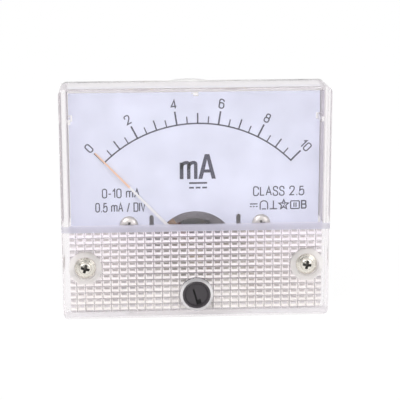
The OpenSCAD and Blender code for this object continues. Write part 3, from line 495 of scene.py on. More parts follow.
def panel_marks(material, values):
    """Frosts the cover's prisms, slope, columns and rim; paints shade into the grooves, upper flanks, prism
    backs and inner side walls, and highlights onto the lower flanks and the backs.
    """
    tree = material.node_tree
    shader = tree.nodes["Principled BSDF"]
    where = add_node(tree, "ShaderNodeTexCoord")
    x, y, z = axes_of(tree, where.outputs["Object"])
    _, facing_y, facing_z = axes_of(tree, where.outputs["Normal"])
    width, height = compute(tree, "ABSOLUTE", x), compute(tree, "ABSOLUTE", z)
    lo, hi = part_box("front_cover")
    panel = within(tree, z, PANEL_FOOT, SLOPE_Z)

    def depth(start, end):
        """The part of the panel between two depths behind the grooves' bottoms, in millimetres."""
        return both(tree, panel, within(tree, y, GROOVE_Y + start * MM, GROOVE_Y + end * MM))

    ring, grooves, flanks, backs = (depth(*ends) for ends in (RING, GROOVES, FLANKS, BACKS))
    tilt = both(tree, facing_y, facing_z)                            # the same from either side of a face
    uppers = both(tree, flanks, within(tree, tilt, *UPPER_TILT))
    row = compute(tree, "MULTIPLY_ADD", z, -1 / PRISM_ROW, SLOPE_Z / PRISM_ROW)
    # Painted highlight: a band of each prism's back is matt near-white.
    lit = both(tree, backs, within(tree, compute(tree, "FRACT", row), *LIT_SHARE))
    slope = both(tree, within(tree, z, SLOPE_Z - 0.05 * MM, WINDOW_Z + 0.05 * MM),
                 within(tree, y, *SLOPE_DEPTH))
    column = near_axis(tree, width, z, SCREW_AXIS, COLUMN_R)
    sides = compute(tree, "MAXIMUM", within(tree, width, hi.x - MM, hi.x + MM),
                    within(tree, height, hi.z - MM, hi.z + MM))
    rim = both(tree, sides, within(tree, compute(tree, "ABSOLUTE", facing_y), *RIM_FACING))
    # Painted shade on the inner side walls.
    inner = both(tree, within(tree, width, CAVITY_HALF - 0.1 * MM, CAVITY_HALF + 0.1 * MM),
                 within(tree, z, WINDOW_Z, hi.z))

    # The painted shade on the panel grows paler towards its sides and its bottom.
    paler = compute(tree, "MAXIMUM", fade(tree, width, 9 * MM, 30 * MM), fade(tree, z, -17 * MM, lo.z))
    clouds = grain(tree, where.outputs["Object"], 55, 0.0)
    cast = fade(tree, clouds, 0.4, 0.6, interpolation_type="SMOOTHSTEP")
    groove_shade = blend(tree, paler, values.groove_shade, values.groove_shade_edge)
    back_shade = blend(tree, paler, blend(tree, cast, values.back_shade_warm, values.back_shade_cool), values.back_shade_edge)
    upper_flank_shade = blend(tree, paler, values.upper_flank_shade, values.upper_flank_shade_edge)
    lower_flank_highlight = blend(tree, fade(tree, z, SLOPE_Z, lo.z), values.lower_flank_highlight, values.lower_flank_highlight_low)

    tone = tuple(shader.inputs["Base Color"].default_value)
    rough, clear = shader.inputs["Roughness"].links[0].from_socket, 1.0
    frosted = (                                                      # tone, roughness, share that is clear
        (grooves, groove_shade, 0.3, 0.6), (ring, values.ring_tone, 0.35, 0.6), (backs, back_shade, 0.4, 0.8),
        (column, values.column_tone, 0.35, 0.5), (slope, values.slope_tone, 0.42, 1.0))
    for mask, its_tone, level, share in frosted:
        tone = blend(tree, mask, tone, its_tone)
        rough, clear = blend(tree, mask, rough, level), blend(tree, mask, clear, share)
    for key, value in (("Base Color", tone), ("Roughness", rough), ("Transmission Weight", clear)):
        feed(tree, shader.inputs[key], value)

    # Painted highlight on the lower and side flanks and the lit band of each back; painted shade on the upper
    # flanks and inner side walls.
    tone, matt_share = lower_flank_highlight, flanks
    matted = (                                                       # tone, share that is matt
        (uppers, upper_flank_shade, 1.0), (lit, lower_flank_highlight, 1.0), (rim, values.rim_tone, 0.35),
        (inner, values.inner_wall_shade, 0.75), (slope, values.slope_matt, 0.45))
    for mask, its_tone, share in matted:
        tone, matt_share = blend(tree, mask, tone, its_tone), blend(tree, mask, matt_share, share)
    matt = add_node(tree, "ShaderNodeBsdfDiffuse", Color=tone).outputs["BSDF"]
    seen = shader.outputs["BSDF"].links[0].to_socket                 # lamp light still passes every part
    feed(tree, seen, mix_shaders(tree, matt_share, shader.outputs["BSDF"], matt))


def dial_enamel(values):
    """Pale enamel that turns darker and warmer below the printed field, with a painted shade line round the
    cut-out.
    """
    material = moulded("dial_enamel", values.enamel, 0.46, 0.000003, 0.00008)
    tree = material.node_tree
    tone = tree.nodes["Principled BSDF"].inputs["Base Color"]
    x, _, z = axes_of(tree, object_place(tree))
    ground = tone.links[0].from_socket
    ground = blend(tree, fade(tree, z, SLOPE_Z, SLOPE_Z - 1.5 * MM), ground, values.enamel_edge)
    edge_shadow = near_axis(tree, x, z, (PIVOT.x, PIVOT.z), CUTOUT_R + CUTOUT_SHADE_WIDTH)    # painted shade line round the cut-out
    feed(tree, tone, blend(tree, edge_shadow, ground, values.cutout_shade))
    return material


def pointer_paint(values):
    """White paint that turns orange at a distance from the pivot."""
    material, tree, shader = new_finish("pointer_paint")
    place = add_node(tree, "ShaderNodeTexCoord").outputs["Object"]
    reach = add_node(tree, "ShaderNodeVectorMath", place, PIVOT, operation="DISTANCE").outputs["Value"]
    border = fade(tree, reach, values.painted_from - 0.2 * MM, values.painted_from + 0.2 * MM)
    feed(tree, shader.inputs["Base Color"], blend(tree, border, values.pointer_white, values.pointer_orange))
    fine = grain(tree, object_place(tree), 1800)
    feed(tree, shader.inputs["Roughness"], spread(tree, fine, 0.38, 0.5))
    relief(tree, shader, fine, 0.000004)
    return material


def finishes():
    """All finishes by name, made once."""
    made = {m.name: m for m in bpy.data.materials if m.get("meter_finish")}
    if made:
        return made
    values = bpy.context.scene.meter_finish
    print_values = bpy.context.scene.meter_print
    wanted = [
        clear_plastic("clear_cover_plastic", values.cover_tint, 0.012, 0.000003),
        clear_plastic("clear_base_plastic", values.base_tint, 0.06, 0.00001),
        dial_enamel(values),
        moulded("dial_ink", print_values.ink, 0.5, 0.000002, 0),
        pointer_paint(values),
        metal("plated_nickel", values.nickel, 0.27),
        metal("dull_nickel", shade(values.nickel, 0.78), 0.42),
        metal("bare_steel", values.steel, 0.36, (1, 0.08, 1)),
        metal("plated_zinc", values.zinc, 0.33),
        metal("bright_brass", values.brass, 0.28, (0.15, 1, 1)),
        metal("ground_magnet", values.magnet, 0.4, (1, 1, 0.1)),
        metal("bare_aluminium", values.aluminium, 0.34, (1, 0.1, 1)),
        metal("winding_copper", values.copper, 0.3, depth=0.000002, edge=0),
        metal("copper_flash", values.shunt, 0.36),
        metal("bronze_ribbon", values.bronze, 0.3, edge=0.00003),
        moulded("adjuster_black", values.black, 0.19, 0.000012, 0.00006),
        # Painted shade: a near-black copy of the adjuster's black for the walls and floor of its slot.
        moulded("adjuster_slot", shade(values.black, 0.12), 0.7),
        metal("recess_shadow", shade(values.nickel, 0.2), 0.5),
        moulded("stop_sleeve", values.sleeve, 0.5),
        moulded("lead_insulation", values.wire, 0.38),
    ]
    panel_marks(wanted[0], values)
    for material in wanted:
        material["meter_finish"] = True
    return {m.name: m for m in wanted}


# ---- Print on the dial ----

def prism(bm, outline, front, back):
    """A closed flat form between y = front and y = back. The outline is x and z, in metres."""
    near = [bm.verts.new((x, front, z)) for x, z in outline]
    far = [bm.verts.new((x, back, z)) for x, z in outline]
    bm.faces.new(near)
    bm.faces.new(far)
    bridge_rings(bm, near, far)


def print_line(bm, points, width, closed=False):
    """A printed line along points, mitred at its corners. Points are x and z, in metres."""
    values = bpy.context.scene.meter_print
    front, back = DIAL_Y - values.ink_thickness, DIAL_Y + INK_ROOT
    points = [Vector(p) for p in points]
    count = len(points)
    left, right = [], []
    for i, point in enumerate(points):
        ways = []
        if closed or i > 0:
            ways.append((point - points[i - 1]).normalized())
        if closed or i < count - 1:
            ways.append((points[(i + 1) % count] - point).normalized())
        way = sum(ways, Vector((0, 0))).normalized()
        half = width / 2 / max(0.35, way.dot(ways[0]))
        across = Vector((-way.y, way.x)) * half
        left.append(point + across)
        right.append(point - across)
    rows = list(zip(left, right))
    pairs = list(zip(rows, rows[1:])) + ([(rows[-1], rows[0])] if closed else [])
    corners = {}

    def vert(p, y):
        key = (round(p.x, 9), round(p.y, 9), y)
        if key not in corners:
            corners[key] = bm.verts.new((p.x, y, p.y))
        return corners[key]

    for (l0, r0), (l1, r1) in pairs:
        bm.faces.new((vert(l0, front), vert(r0, front), vert(r1, front), vert(l1, front)))
        bm.faces.new((vert(l0, back), vert(l1, back), vert(r1, back), vert(r0, back)))
        bm.faces.new((vert(l0, front), vert(l1, front), vert(l1, back), vert(l0, back)))
        bm.faces.new((vert(r0, front), vert(r0, back), vert(r1, back), vert(r1, front)))
    if not closed:
        for l, r in (rows[0], rows[-1]):
            bm.faces.new((vert(l, front), vert(l, back), vert(r, back), vert(r, front)))


def on_dial(radius, turn):
    """Point on the dial at a radius from the scale's centre, turned right of upright."""
    values = bpy.context.scene.meter_print
    return PIVOT.x + values.offset + radius * math.sin(turn), PIVOT.z + radius * math.cos(turn)


# Strokes of the lettering: width of the character, then its lines. A point is across, up, and S at a
# sharp corner. A line that ends where it starts is closed. Heights run from 0 to 1.
S = 1
STROKES = {
    " ": (0.22, []),
    ".": (0.13, [[(0, 0), (0.13, 0)]]),
    "-": (0.32, [[(0, 0.42), (0.32, 0.42)]]),
    "/": (0.34, [[(0, -0.06), (0.34, 1.02)]]),
    "0": (0.56, [[(0, 0.5), (0, 1.02), (0.56, 1.02), (0.56, 0.5), (0.56, -0.02), (0, -0.02), (0, 0.5)]]),
    "1": (0.30, [[(0, 0.74), (0.26, 1, S), (0.26, 0)]]),
    "2": (0.58, [[(0.03, 0.70), (0.01, 1.02), (0.57, 1.04), (0.56, 0.62), (0.30, 0.32), (0.02, 0, S),
                  (0.58, 0)]]),
    "4": (0.62, [[(0.46, 0), (0.46, 1, S), (0, 0.27, S), (0.62, 0.27)]]),
    "5": (0.56, [[(0.51, 1), (0.11, 1, S), (0.05, 0.49, S), (0.22, 0.66), (0.57, 0.66), (0.57, -0.02),
                  (0, -0.04), (0.0, 0.24)]]),
    "6": (0.56, [[(0.53, 0.78), (0.48, 1.02), (-0.02, 1.10), (0, 0.42), (0, -0.02), (0.56, -0.02),
                  (0.56, 0.62), (0.03, 0.66), (0.01, 0.34)]]),
    "8": (0.56, [[(0.28, 0.53, S), (0.05, 0.53), (0.05, 1.01), (0.51, 1.01), (0.51, 0.53), (0.28, 0.53, S)],
                 [(0.28, 0.53, S), (0, 0.53), (0, -0.02), (0.56, -0.02), (0.56, 0.53), (0.28, 0.53, S)]]),
    "A": (0.64, [[(0, 0), (0.32, 1, S), (0.64, 0)], [(0.13, 0.34), (0.51, 0.34)]]),
    "B": (0.58, [[(0, 0.53, S), (0, 1, S), (0.30, 1), (0.54, 1), (0.54, 0.53), (0.30, 0.53), (0, 0.53, S)],
                 [(0, 0, S), (0, 0.53, S), (0.30, 0.53), (0.58, 0.53), (0.58, 0), (0.30, 0), (0, 0, S)]]),
    "C": (0.62, [[(0.62, 0.70), (0.56, 1.01), (0.0, 1.06), (0, 0.5), (0, -0.06), (0.56, -0.01),
                  (0.62, 0.32)]]),
    "D": (0.60, [[(0, 0, S), (0, 1, S), (0.26, 1), (0.60, 1), (0.60, 0.5), (0.60, 0), (0.26, 0), (0, 0, S)]]),
    "I": (0.02, [[(0.01, 0), (0.01, 1)]]),
    "L": (0.48, [[(0, 1), (0, 0, S), (0.48, 0)]]),
    "S": (0.56, [[(0.54, 0.72), (0.52, 1.02), (0.02, 1.04), (0.02, 0.58), (0.54, 0.48), (0.58, -0.04),
                  (0.0, -0.04), (0.0, 0.28)]]),
    "V": (0.62, [[(0, 1), (0.31, 0, S), (0.62, 1)]]),
    "m": (0.84, [[(0, 0), (0, 0.70)], [(0, 0.44), (0.02, 0.72), (0.42, 0.76), (0.42, 0.46), (0.42, 0)],
                 [(0.42, 0.44), (0.44, 0.72), (0.84, 0.76), (0.84, 0.46), (0.84, 0)]]),
}


def eased(points, rounds=3):
    """Rounds a line's corners and keeps its two ends."""
    for _ in range(rounds):
        cut = [points[0]]
        for a, b in zip(points, points[1:]):
            cut += [a.lerp(b, 0.25), a.lerp(b, 0.75)]
        points = cut + [points[-1]]
    return points


def stroke_points(line):
    """A stroke's points with its round corners eased and its sharp ones kept."""
    run, done = [], []
    for i, entry in enumerate(line):
        run.append(Vector(entry[:2]))
        if len(run) > 1 and (len(entry) > 2 or i == len(line) - 1):
            done += (eased(run) if len(run) > 2 else run)[1 if done else 0:]
            run = run[-1:]
    return done


def lettering(bm, body, height, line, centre, turn=0.0, width=None):
    """Adds characters in strokes of the given line width, centred and turned about the dial's normal."""
    gap = 0.25
    natural = sum(STROKES[c][0] for c in body) + gap * (len(body) - 1)
    up = height - line
    across = (width - line) / natural if width else up
    start = -natural / 2
    spin = Matrix.Rotation(-turn, 2)
    for character in body:
        wide, strokes = STROKES[character]
        for stroke in strokes:
            points = stroke_points(stroke)
            closed = (points[0] - points[-1]).length < 1e-6
            if closed:
                points = points[:-1]
            placed = [spin @ Vector(((start + p.x) * across, (p.y - 0.5) * up)) for p in points]
            print_line(bm, [Vector(centre) + p for p in placed], line, closed)
        start += wide + gap


class MeterOperator:
    """Shared by the operators below"""
    bl_options = {"REGISTER", "UNDO"}

    @classmethod
    def poll(cls, context):
        return bool(NODES)


def open_joint(name, gap):
    """Leaves a hair of air behind a clear moulding's rear edge, where it stands on another."""
    tree = bpy.data.node_groups.new("joint_air", "GeometryNodeTree")
    for way in ("INPUT", "OUTPUT"):
        tree.interface.new_socket("Geometry", in_out=way, socket_type="NodeSocketGeometry")
    shape = add_node(tree, "NodeGroupInput").outputs["Geometry"]
    _, depth, _ = axes_of(tree, add_node(tree, "GeometryNodeInputPosition").outputs["Position"])
    behind = add_node(tree, "FunctionNodeCompare", depth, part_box(name)[1].y - gap / 4,
                      data_type="FLOAT", operation="GREATER_THAN").outputs["Result"]
    moved = add_node(tree, "GeometryNodeSetPosition", shape, behind, Offset=(0, -gap, 0))
    add_node(tree, "NodeGroupOutput", moved.outputs["Geometry"])
    NODES[name].modifiers.new("joint_air", "NODES").node_group = tree


class METER_OT_mouldings(MeterOperator, bpy.types.Operator):
    """Give the cover and the base their clear plastic"""
    bl_idname = "meter.mouldings"
    bl_label = "Clear mouldings"

    def execute(self, context):
        paint("clear_cover_plastic", "front_cover")
        paint("clear_base_plastic", "base_housing")
        open_joint("front_cover", 0.01 * MM)
        return {"FINISHED"}


class METER_OT_dial(MeterOperator, bpy.types.Operator):
    """Enamel the dial plate and finish its pillars, screws and stops"""
    bl_idname = "meter.dial"
    bl_label = "Dial plate"

    def execute(self, context):
        paint("dial_enamel", "dial_plate")
        paint("bright_brass", "dial_pillars")
        lo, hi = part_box("dial_screws")
        head_r = 2.2
        crown = [(0.0, 0.0), (0.7, 0.03), (1.2, 0.12), (1.6, 0.27), (1.9, 0.46), (2.1, 0.7), (head_r, 1.0),
                 (head_r - 0.05, 1.15)]
        for name, x, turn in (("left", lo.x + head_r * MM, 8), ("right", hi.x - head_r * MM, -12)):
            screw = cross_screw(f"dial_screw_{name}", (x, (lo.z + hi.z) / 2), lo.y / MM, crown, 0.98, 1.0,
                                hi.y / MM, 0.4, turn, "dull_nickel")
            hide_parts("dial_screws")
        paint("stop_sleeve", "pointer_stops")
        return {"FINISHED"}


class METER_OT_scale(MeterOperator, bpy.types.Operator):
    """Print the scale: its arc, ticks and numerals"""
    bl_idname = "meter.scale"
    bl_label = "Scale"

    def execute(self, context):
        values = context.scene.meter_print
        half = values.sweep / 2
        arc = bmesh.new()
        steps = 120
        points = [on_dial(values.arc_radius, half * (2 * i / steps - 1)) for i in range(steps + 1)]
        print_line(arc, points, values.arc_line)
        add_piece("scale_arc", arc, "housing", "dial_ink")
        ticks = bmesh.new()
        numerals = bmesh.new()
        for i in range(values.divisions + 1):
            turn = half * (2 * i / values.divisions - 1)
            if i % 4 == 0:
                size, width = values.long_tick, values.heavy_line
                lettering(numerals, str(i // 2), values.numeral_height, values.numeral_line,
                          on_dial(values.numeral_radius, turn), turn)
            elif i % 2 == 0:
                size, width = values.middle_tick, (values.heavy_line + values.light_line) / 2
            else:
                size, width = values.short_tick, values.light_line
            inner = values.arc_radius - values.arc_line / 2
            print_line(ticks, [on_dial(inner, turn), on_dial(values.arc_radius + size, turn)], width)
        add_piece("scale_ticks", ticks, "housing", "dial_ink")
        add_piece("scale_numerals", numerals, "housing", "dial_ink")
        return {"FINISHED"}


class METER_OT_legend(MeterOperator, bpy.types.Operator):
    """Print the unit, the accuracy class and the plain symbols"""
    bl_idname = "meter.legend"
    bl_label = "Legend"

    def execute(self, context):
        values = context.scene.meter_print
        height, line = values.legend_height, values.legend_line
        unit = bmesh.new()
        print_unit(unit)
        add_piece("unit_mark", unit, "housing", "dial_ink")
        words = bmesh.new()
        lettering(words, "CLASS 2.5", height, line, (20.2 * MM, 1.95 * MM), width=12.4 * MM)
        add_piece("accuracy_class", words, "housing", "dial_ink")
        note = bmesh.new()
        lettering(note, "0-10 mA", height, line, (-17.8 * MM, 1.95 * MM), width=9.1 * MM)
        lettering(note, "0.5 mA / DIV", height, line, (-17.95 * MM, -1.5 * MM), width=12.1 * MM)
        add_piece("range_note", note, "housing", "dial_ink")
        signs = bmesh.new()
        print_signs(signs, line)
        add_piece("symbol_row", signs, "housing", "dial_ink")
        return {"FINISHED"}


def at(points):
    """Points across and up the dial, given in millimetres."""
    return [Vector((x * MM, z * MM)) for x, z in points]


def print_unit(bm):
    """The heavy unit mark with the direct current sign below it."""
    low, stem = 5.2, 0.90 * MM
    first, middle, last = -3.20, -1.50, 0.19
    print_line(bm, at([(first, low), (first, 9.25)]), stem)
    for x0, x1 in ((first, middle), (middle, last)):
        arch = at([(x0, 7.6), (x0 + 0.1, 9.0), (x1, 9.35), (x1, 7.9), (x1, low)])
        print_line(bm, eased(arch, 4), stem * 0.92)
    front, back = DIAL_Y - bpy.context.scene.meter_print.ink_thickness, DIAL_Y + INK_ROOT
    centre, top = 2.91, 11.22
    for side in (-1, 1):
        half = [(0, top), (0.56, top), (2.10, low), (1.14, low), (0.77, 6.72), (0, 6.72), (0, 7.48),
                (0.57, 7.48), (0, 9.95)]
        prism(bm, [((centre + side * x) * MM, z * MM) for x, z in half], front, back)
    print_line(bm, at([(-1.4, 4.2), (2.9, 4.2)]), 0.42 * MM)
    for x in (-1.4, 0.17, 1.75):
        print_line(bm, at([(x, 3.05), (x + 1.13, 3.05)]), 0.40 * MM)


def print_signs(bm, line):
    """Direct current, moving coil, upright mounting, test voltage and display signs, left to right."""
    low, high = -2.6, -0.45
    print_line(bm, at([(13.25, -1.2), (15.1, -1.2)]), line)
    for x in (13.25, 13.98, 14.7):
        print_line(bm, at([(x, -1.85), (x + 0.42, -1.85)]), line)
    arch = [(15.75, low), (15.75, -1.3)]
    arch += [(16.65 - 0.9 * math.cos(t), -1.3 + 0.85 * math.sin(t))
             for t in (math.pi * i / 12 for i in range(1, 12))]
    arch += [(17.55, -1.3), (17.55, low)]
    print_line(bm, at(arch), line)
    print_line(bm, at([(16.15, low + 0.12), (17.15, low + 0.12)]), line)
    print_line(bm, at([(18.05, low + 0.12), (19.85, low + 0.12)]), line)
    print_line(bm, at([(18.95, low + 0.12), (18.95, high)]), line)
    star = []
    for i in range(10):
        r = 1.22 if i % 2 == 0 else 0.55
        t = math.pi * i / 5
        star.append((21.45 + r * math.sin(t), -1.5 + r * math.cos(t)))
    print_line(bm, at(star), line, closed=True)
    lettering(bm, "2", 0.95 * MM, 0.16 * MM, (21.45 * MM, -1.56 * MM))
    box = [(23.3, -0.6), (25.1, -0.6), (25.25, -0.75), (25.25, -2.35), (25.1, -2.5), (23.3, -2.5),
           (23.15, -2.35), (23.15, -0.75)]
    print_line(bm, at(box), line, closed=True)
    for x in (23.95, 24.45):
        print_line(bm, at([(x, -1.0), (x, -2.1)]), line)
    lettering(bm, "B", 2.15 * MM, line * 1.15, (26.35 * MM, -1.5 * MM))


class METER_OT_pointer(MeterOperator, bpy.types.Operator):
    """Paint the pointer and finish its balance weights"""
    bl_idname = "meter.pointer"
    bl_label = "Pointer"

    def execute(self, context):
        paint("pointer_paint", "pointer")
        paint("plated_zinc", "balance_weights")
        return {"FINISHED"}


class METER_OT_moving_coil(MeterOperator, bpy.types.Operator):
    """Wind the coil and finish its former, pivots and hairsprings"""
    bl_idname = "meter.moving_coil"
    bl_label = "Moving coil"

    def execute(self, context):
        paint("bare_aluminium", "coil_former")
        paint("bare_steel", "front_pivot", "rear_pivot")
        paint("bronze_ribbon", "front_hairspring", "rear_hairspring")
        turns = bmesh.new()
        wind_coil(turns)
        coil = add_piece("coil_turns", turns, "moving_coil", "winding_copper")
        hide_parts("coil_winding")
        return {"FINISHED"}


def wind_coil(bm):
    """Turns of wire side by side round the former, over a solid core of inner layers."""
    lo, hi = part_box("coil_winding")
    half_y, middle_y = (hi.y - lo.y) / 2, (hi.y + lo.y) / 2
    half_width, half_z, corner = 1.7 * MM, 7.0 * MM, 0.6 * MM
    wire, core, count = 0.125 * MM, 0.5 * MM, 13
    spin = Matrix.Translation(PIVOT) @ Matrix.Rotation(-at_rest_turn(), 4, "Y")
    section = []
    for side_y, side_z, start in ((1, 1, 0), (-1, 1, 90), (-1, -1, 180), (1, -1, 270)):
        for i in range(7):
            t = math.radians(start + 15 * i)
            section.append((side_y * (half_y - corner) + (corner - wire) * math.cos(t),
                            side_z * (half_z - corner) + (corner - wire) * math.sin(t)))

    def loop(x, inset=0.0):
        return [spin @ Vector((x, middle_y + y * (1 - inset / half_y), z * (1 - inset / half_z)))
                for y, z in section]

    end = half_width - wire
    for k in range(count):
        tube(bm, loop(end * (2 * k / (count - 1) - 1)), wire, 8, closed=True)
    rings = [[bm.verts.new(p) for p in loop(x, inset)]
             for x, inset in ((-end, 0), (end, 0), (end, core), (-end, core))]
    for a, b in zip(rings, rings[1:] + rings[:1]):
        bridge_rings(bm, a, b)


class METER_OT_movement(MeterOperator, bpy.types.Operator):
    """Finish the magnet, its yoke, strap and shunt, the plate, bridges and jewel screws"""
    bl_idname = "meter.movement"
    bl_label = "Movement"

    def execute(self, context):
        paint("plated_zinc", "movement_plate", "front_bridge", "rear_bridge")
        paint("bright_brass", "core_strap", "front_jewel_screw", "rear_jewel_screw")
        paint("bare_steel", "yoke_ring")
        paint("ground_magnet", "core_magnet")
        paint("copper_flash", "magnetic_shunt")
        paint("plated_nickel", "core_screws", "bridge_screws", "front_lock_nut", "rear_lock_nut")
        return {"FINISHED"}


class METER_OT_mounting(MeterOperator, bpy.types.Operator):
    """Make the cross-recess mounting screws with their threads, and finish nuts and washers"""
    bl_idname = "meter.mounting"
    bl_label = "Mounting screws"

    def execute(self, context):
        paint("plated_zinc", "mounting_nuts")
        paint("plated_nickel", "mounting_washers")
        lo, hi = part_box("mounting_screws")
        head_r, front = 2.55, lo.y / MM
        crown = [(0.0, 0.0), (0.6, 0.03), (1.0, 0.1), (1.3, 0.22), (1.48, 0.42), (1.52, 0.7), (1.6, 0.76),
                 (2.0, 0.8), (2.1, 0.86), (2.14, 1.0), (2.2, 1.04), (2.44, 1.06), (2.52, 1.12),
                 (head_r, 1.25), (head_r - 0.06, 1.45)]
        for name, x, turn in (("left", lo.x + head_r * MM, 16), ("right", hi.x - head_r * MM, 10)):
            screw = cross_screw(f"mounting_screw_{name}", (x, (lo.z + hi.z) / 2), front, crown, 1.15, 1.5,
                                hi.y / MM, 2.0, turn)
            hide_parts("mounting_screws")
        return {"FINISHED"}


def cross_screw(name, centre, front, crown, arm, shank_r, tip, tip_l, turn, plating="plated_nickel"):
    """One cross-recess screw: crowned head, threaded shank and pilot point, in millimetres."""
    seat = front + crown[-1][1]
    head = bmesh.new()
    neck = shank_r - 0.1
    lathe(head, centre, [(r, front + y) for r, y in crown] + [(neck, seat), (neck, seat + 0.4),
                                                              (0.0, seat + 0.4)])
    piece = add_piece(name, head, "housing", plating)
    carve(piece, cross_recess(centre, front, arm, turn), "recess_shadow")
    whole = bmesh.new()
    whole.from_mesh(piece.data)
    body = bmesh.new()
    thread(body, centre, shank_r, shank_r / 3, seat + 0.3, tip - tip_l)
    scratch = bpy.data.meshes.new("thread")
    body.to_mesh(scratch)
    body.free()
    whole.from_mesh(scratch)
    bpy.data.meshes.remove(scratch)
    point = 0.77 * shank_r
    lathe(whole, centre, [(point, tip - tip_l - 0.4), (point, tip - 0.35), (0.7 * point, tip)], 36)
    bmesh.ops.recalc_face_normals(whole, faces=whole.faces)
    whole.to_mesh(piece.data)
    whole.free()
    smooth(piece.data)
    return piece


def cross_recess(centre, front, arm, turn):
    """A tapered cross with a given reach of its arms, as a closed form to cut with."""
    bm = bmesh.new()
    x, z = centre
    spin = Matrix.Translation((x, front * MM, z)) @ Matrix.Rotation(math.radians(turn), 4, "Y")
    thick = 0.3 * arm
    levels = ((-0.3, 1.06 * arm, 1.05 * thick), (0.85 * arm, 0.62 * arm, 0.72 * thick))
    rings = []
    for y, a, t in levels:
        corners = [(t, t), (t, a), (-t, a), (-t, t), (-a, t), (-a, -t),
                   (-t, -t), (-t, -a), (t, -a), (t, -t), (a, -t), (a, t)]
        rings.append([bm.verts.new(spin @ Vector((cx * MM, y * MM, cz * MM))) for cx, cz in corners])
    bridge_rings(bm, rings[0], rings[1])
    bm.faces.new(rings[0])
    bm.faces.new(rings[1])
    return bm


class METER_OT_terminals(MeterOperator, bpy.types.Operator):
    """Thread the terminal studs and finish their nuts, washers and solder lugs"""
    bl_idname = "meter.terminals"
    bl_label = "Terminals"

    def execute(self, context):
        paint("bright_brass", "terminal_inner_nuts", "terminal_outer_nuts")
        paint("plated_zinc", "terminal_washers", "solder_lugs")
        paint("bare_steel", "terminal_spring_washers")
        lo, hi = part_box("terminal_studs")
        start, end, head_r = lo.y / MM, hi.y / MM, 3.5
        for name, x in (("left", lo.x + head_r * MM), ("right", hi.x - head_r * MM)):
            stud = bmesh.new()
            centre = (x, 0.0)
            thread(stud, centre, THREAD_M4, PITCH_M4, start + 1.4, end - 3.5)
            lathe(stud, centre, [(head_r - 0.3, start), (head_r, start + 0.3), (head_r, start + 1.6),
                                 (1.9, start + 1.6), (1.9, start + 2.0)], 48)
            lathe(stud, centre, [(1.75, end - 4.0), (1.75, end - 0.5), (1.35, end)], 36)
            piece = add_piece(f"terminal_stud_{name}", stud, "housing", "bright_brass")
            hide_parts("terminal_studs")
        return {"FINISHED"}


class METER_OT_adjuster(MeterOperator, bpy.types.Operator):
    """Make the dished zero adjuster with its slot, and finish its clip and the lever that it turns"""
    bl_idname = "meter.adjuster"
    bl_label = "Zero adjuster"

    def execute(self, context):
        paint("plated_zinc", "adjuster_clip", "zero_lever")
        lo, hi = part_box("zero_adjuster")
        centre, front, back = (0.0, (lo.z + hi.z) / 2), lo.y / MM, hi.y / MM
        radius = (hi.x - lo.x) / 2 / MM
        knob = bmesh.new()
        profile = [(0.0, 0.6), (2.45, 0.6), (2.62, 0.55), (2.78, 0.2), (2.9, 0.05), (3.05, 0.0), (3.18, 0.02),
                   (3.3, 0.11), (radius, 0.26), (radius, 1.1), (2.0, 1.1), (2.0, 2.37), (1.6, 2.37),
                   (1.6, 2.64), (1.9, 2.64), (1.9, 2.77), (0.0, 2.77)]
        lathe(knob, centre, [(r, front + y) for r, y in profile], 96)
        piece = add_piece("adjuster_knob", knob, "adjuster", "adjuster_black", soft_angle=28)
        for corners in (((-0.60, 1.45), (-0.18, 1.45), (-0.18, -1.9), (-0.60, -1.9)),
                        ((-0.64, -1.35), (0.56, -1.35), (0.56, -2.5), (-0.64, -2.5))):
            slot = bmesh.new()
            spin = Matrix.Rotation(math.radians(16), 2)
            outline = [spin @ Vector(p) for p in corners]
            outline = [(p.x * MM, centre[1] + p.y * MM) for p in outline]
            prism(slot, outline, (front - 0.2) * MM, (front + 0.95) * MM)
            # The slot's cut faces get the painted shade.
            carve(piece, slot, "adjuster_slot")
        pin = bmesh.new()
        pin.from_mesh(piece.data)
        lathe(pin, (0.0, centre[1] + THROW), [(THROW_PIN, front + 2.7), (THROW_PIN, back - 0.1),
                                              (THROW_PIN - 0.1, back)], 32)
        pin.to_mesh(piece.data)
        pin.free()
        piece.data.set_sharp_from_angle(angle=math.radians(28))
        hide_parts("zero_adjuster")
        return {"FINISHED"}


class METER_OT_leads(MeterOperator, bpy.types.Operator):
    """Lay the two insulated leads from each side's bridge foot to its terminal"""
    bl_idname = "meter.leads"
    bl_label = "Leads"

    def execute(self, context):
        z = PIVOT.z / MM
        bends = ((13.75, 10.0, z), (13.25, 11.5, z + 3), (10.0, 20.0, -3.0), (10.8, 22.0, -1.2))
        for name, side in (("left", -1), ("right", 1)):
            bm = bmesh.new()
            tube(bm, eased([Vector((side * x, y, z)) * MM for x, y, z in bends]), 0.4 * MM, 14)
            piece = add_piece(f"lead_{name}", bm, "housing", "lead_insulation")
            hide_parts("lead_wires")
        return {"FINISHED"}


class METER_OT_stage(MeterOperator, bpy.types.Operator):
    """Set up the floor, the soft light and the camera"""
    bl_idname = "meter.stage"
    bl_label = "Stage"

    def execute(self, context):
        values = context.scene.meter_stage
        context.scene.view_settings.view_transform = "Standard"
        for kind in ("max_bounces", "glossy_bounces", "transmission_bounces", "transparent_max_bounces"):
            setattr(context.scene.cycles, kind, CLEAR_BOUNCES)
        add_floor(values)
        light_world(context.scene, values)
        add_lamp("key_lamp", (-0.34, -0.42, 0.40), 0.32, values.key_power)
        add_lamp("fill_lamp", (0.42, -0.46, 0.22), 0.40, values.fill_power)
        add_camera(context.scene, values)
        return {"FINISHED"}


def seen_directly(tree):
    """1 for rays that reach the eye straight, off a shiny surface or through a clear one."""
    rays = add_node(tree, "ShaderNodeLightPath").outputs
    total = rays["Is Camera Ray"]
    for name in ("Is Glossy Ray", "Is Transmission Ray"):
        total = compute(tree, "MAXIMUM", total, rays[name])
    return both(tree, total, compute(tree, "LESS_THAN", rays["Diffuse Depth"], 0.5))


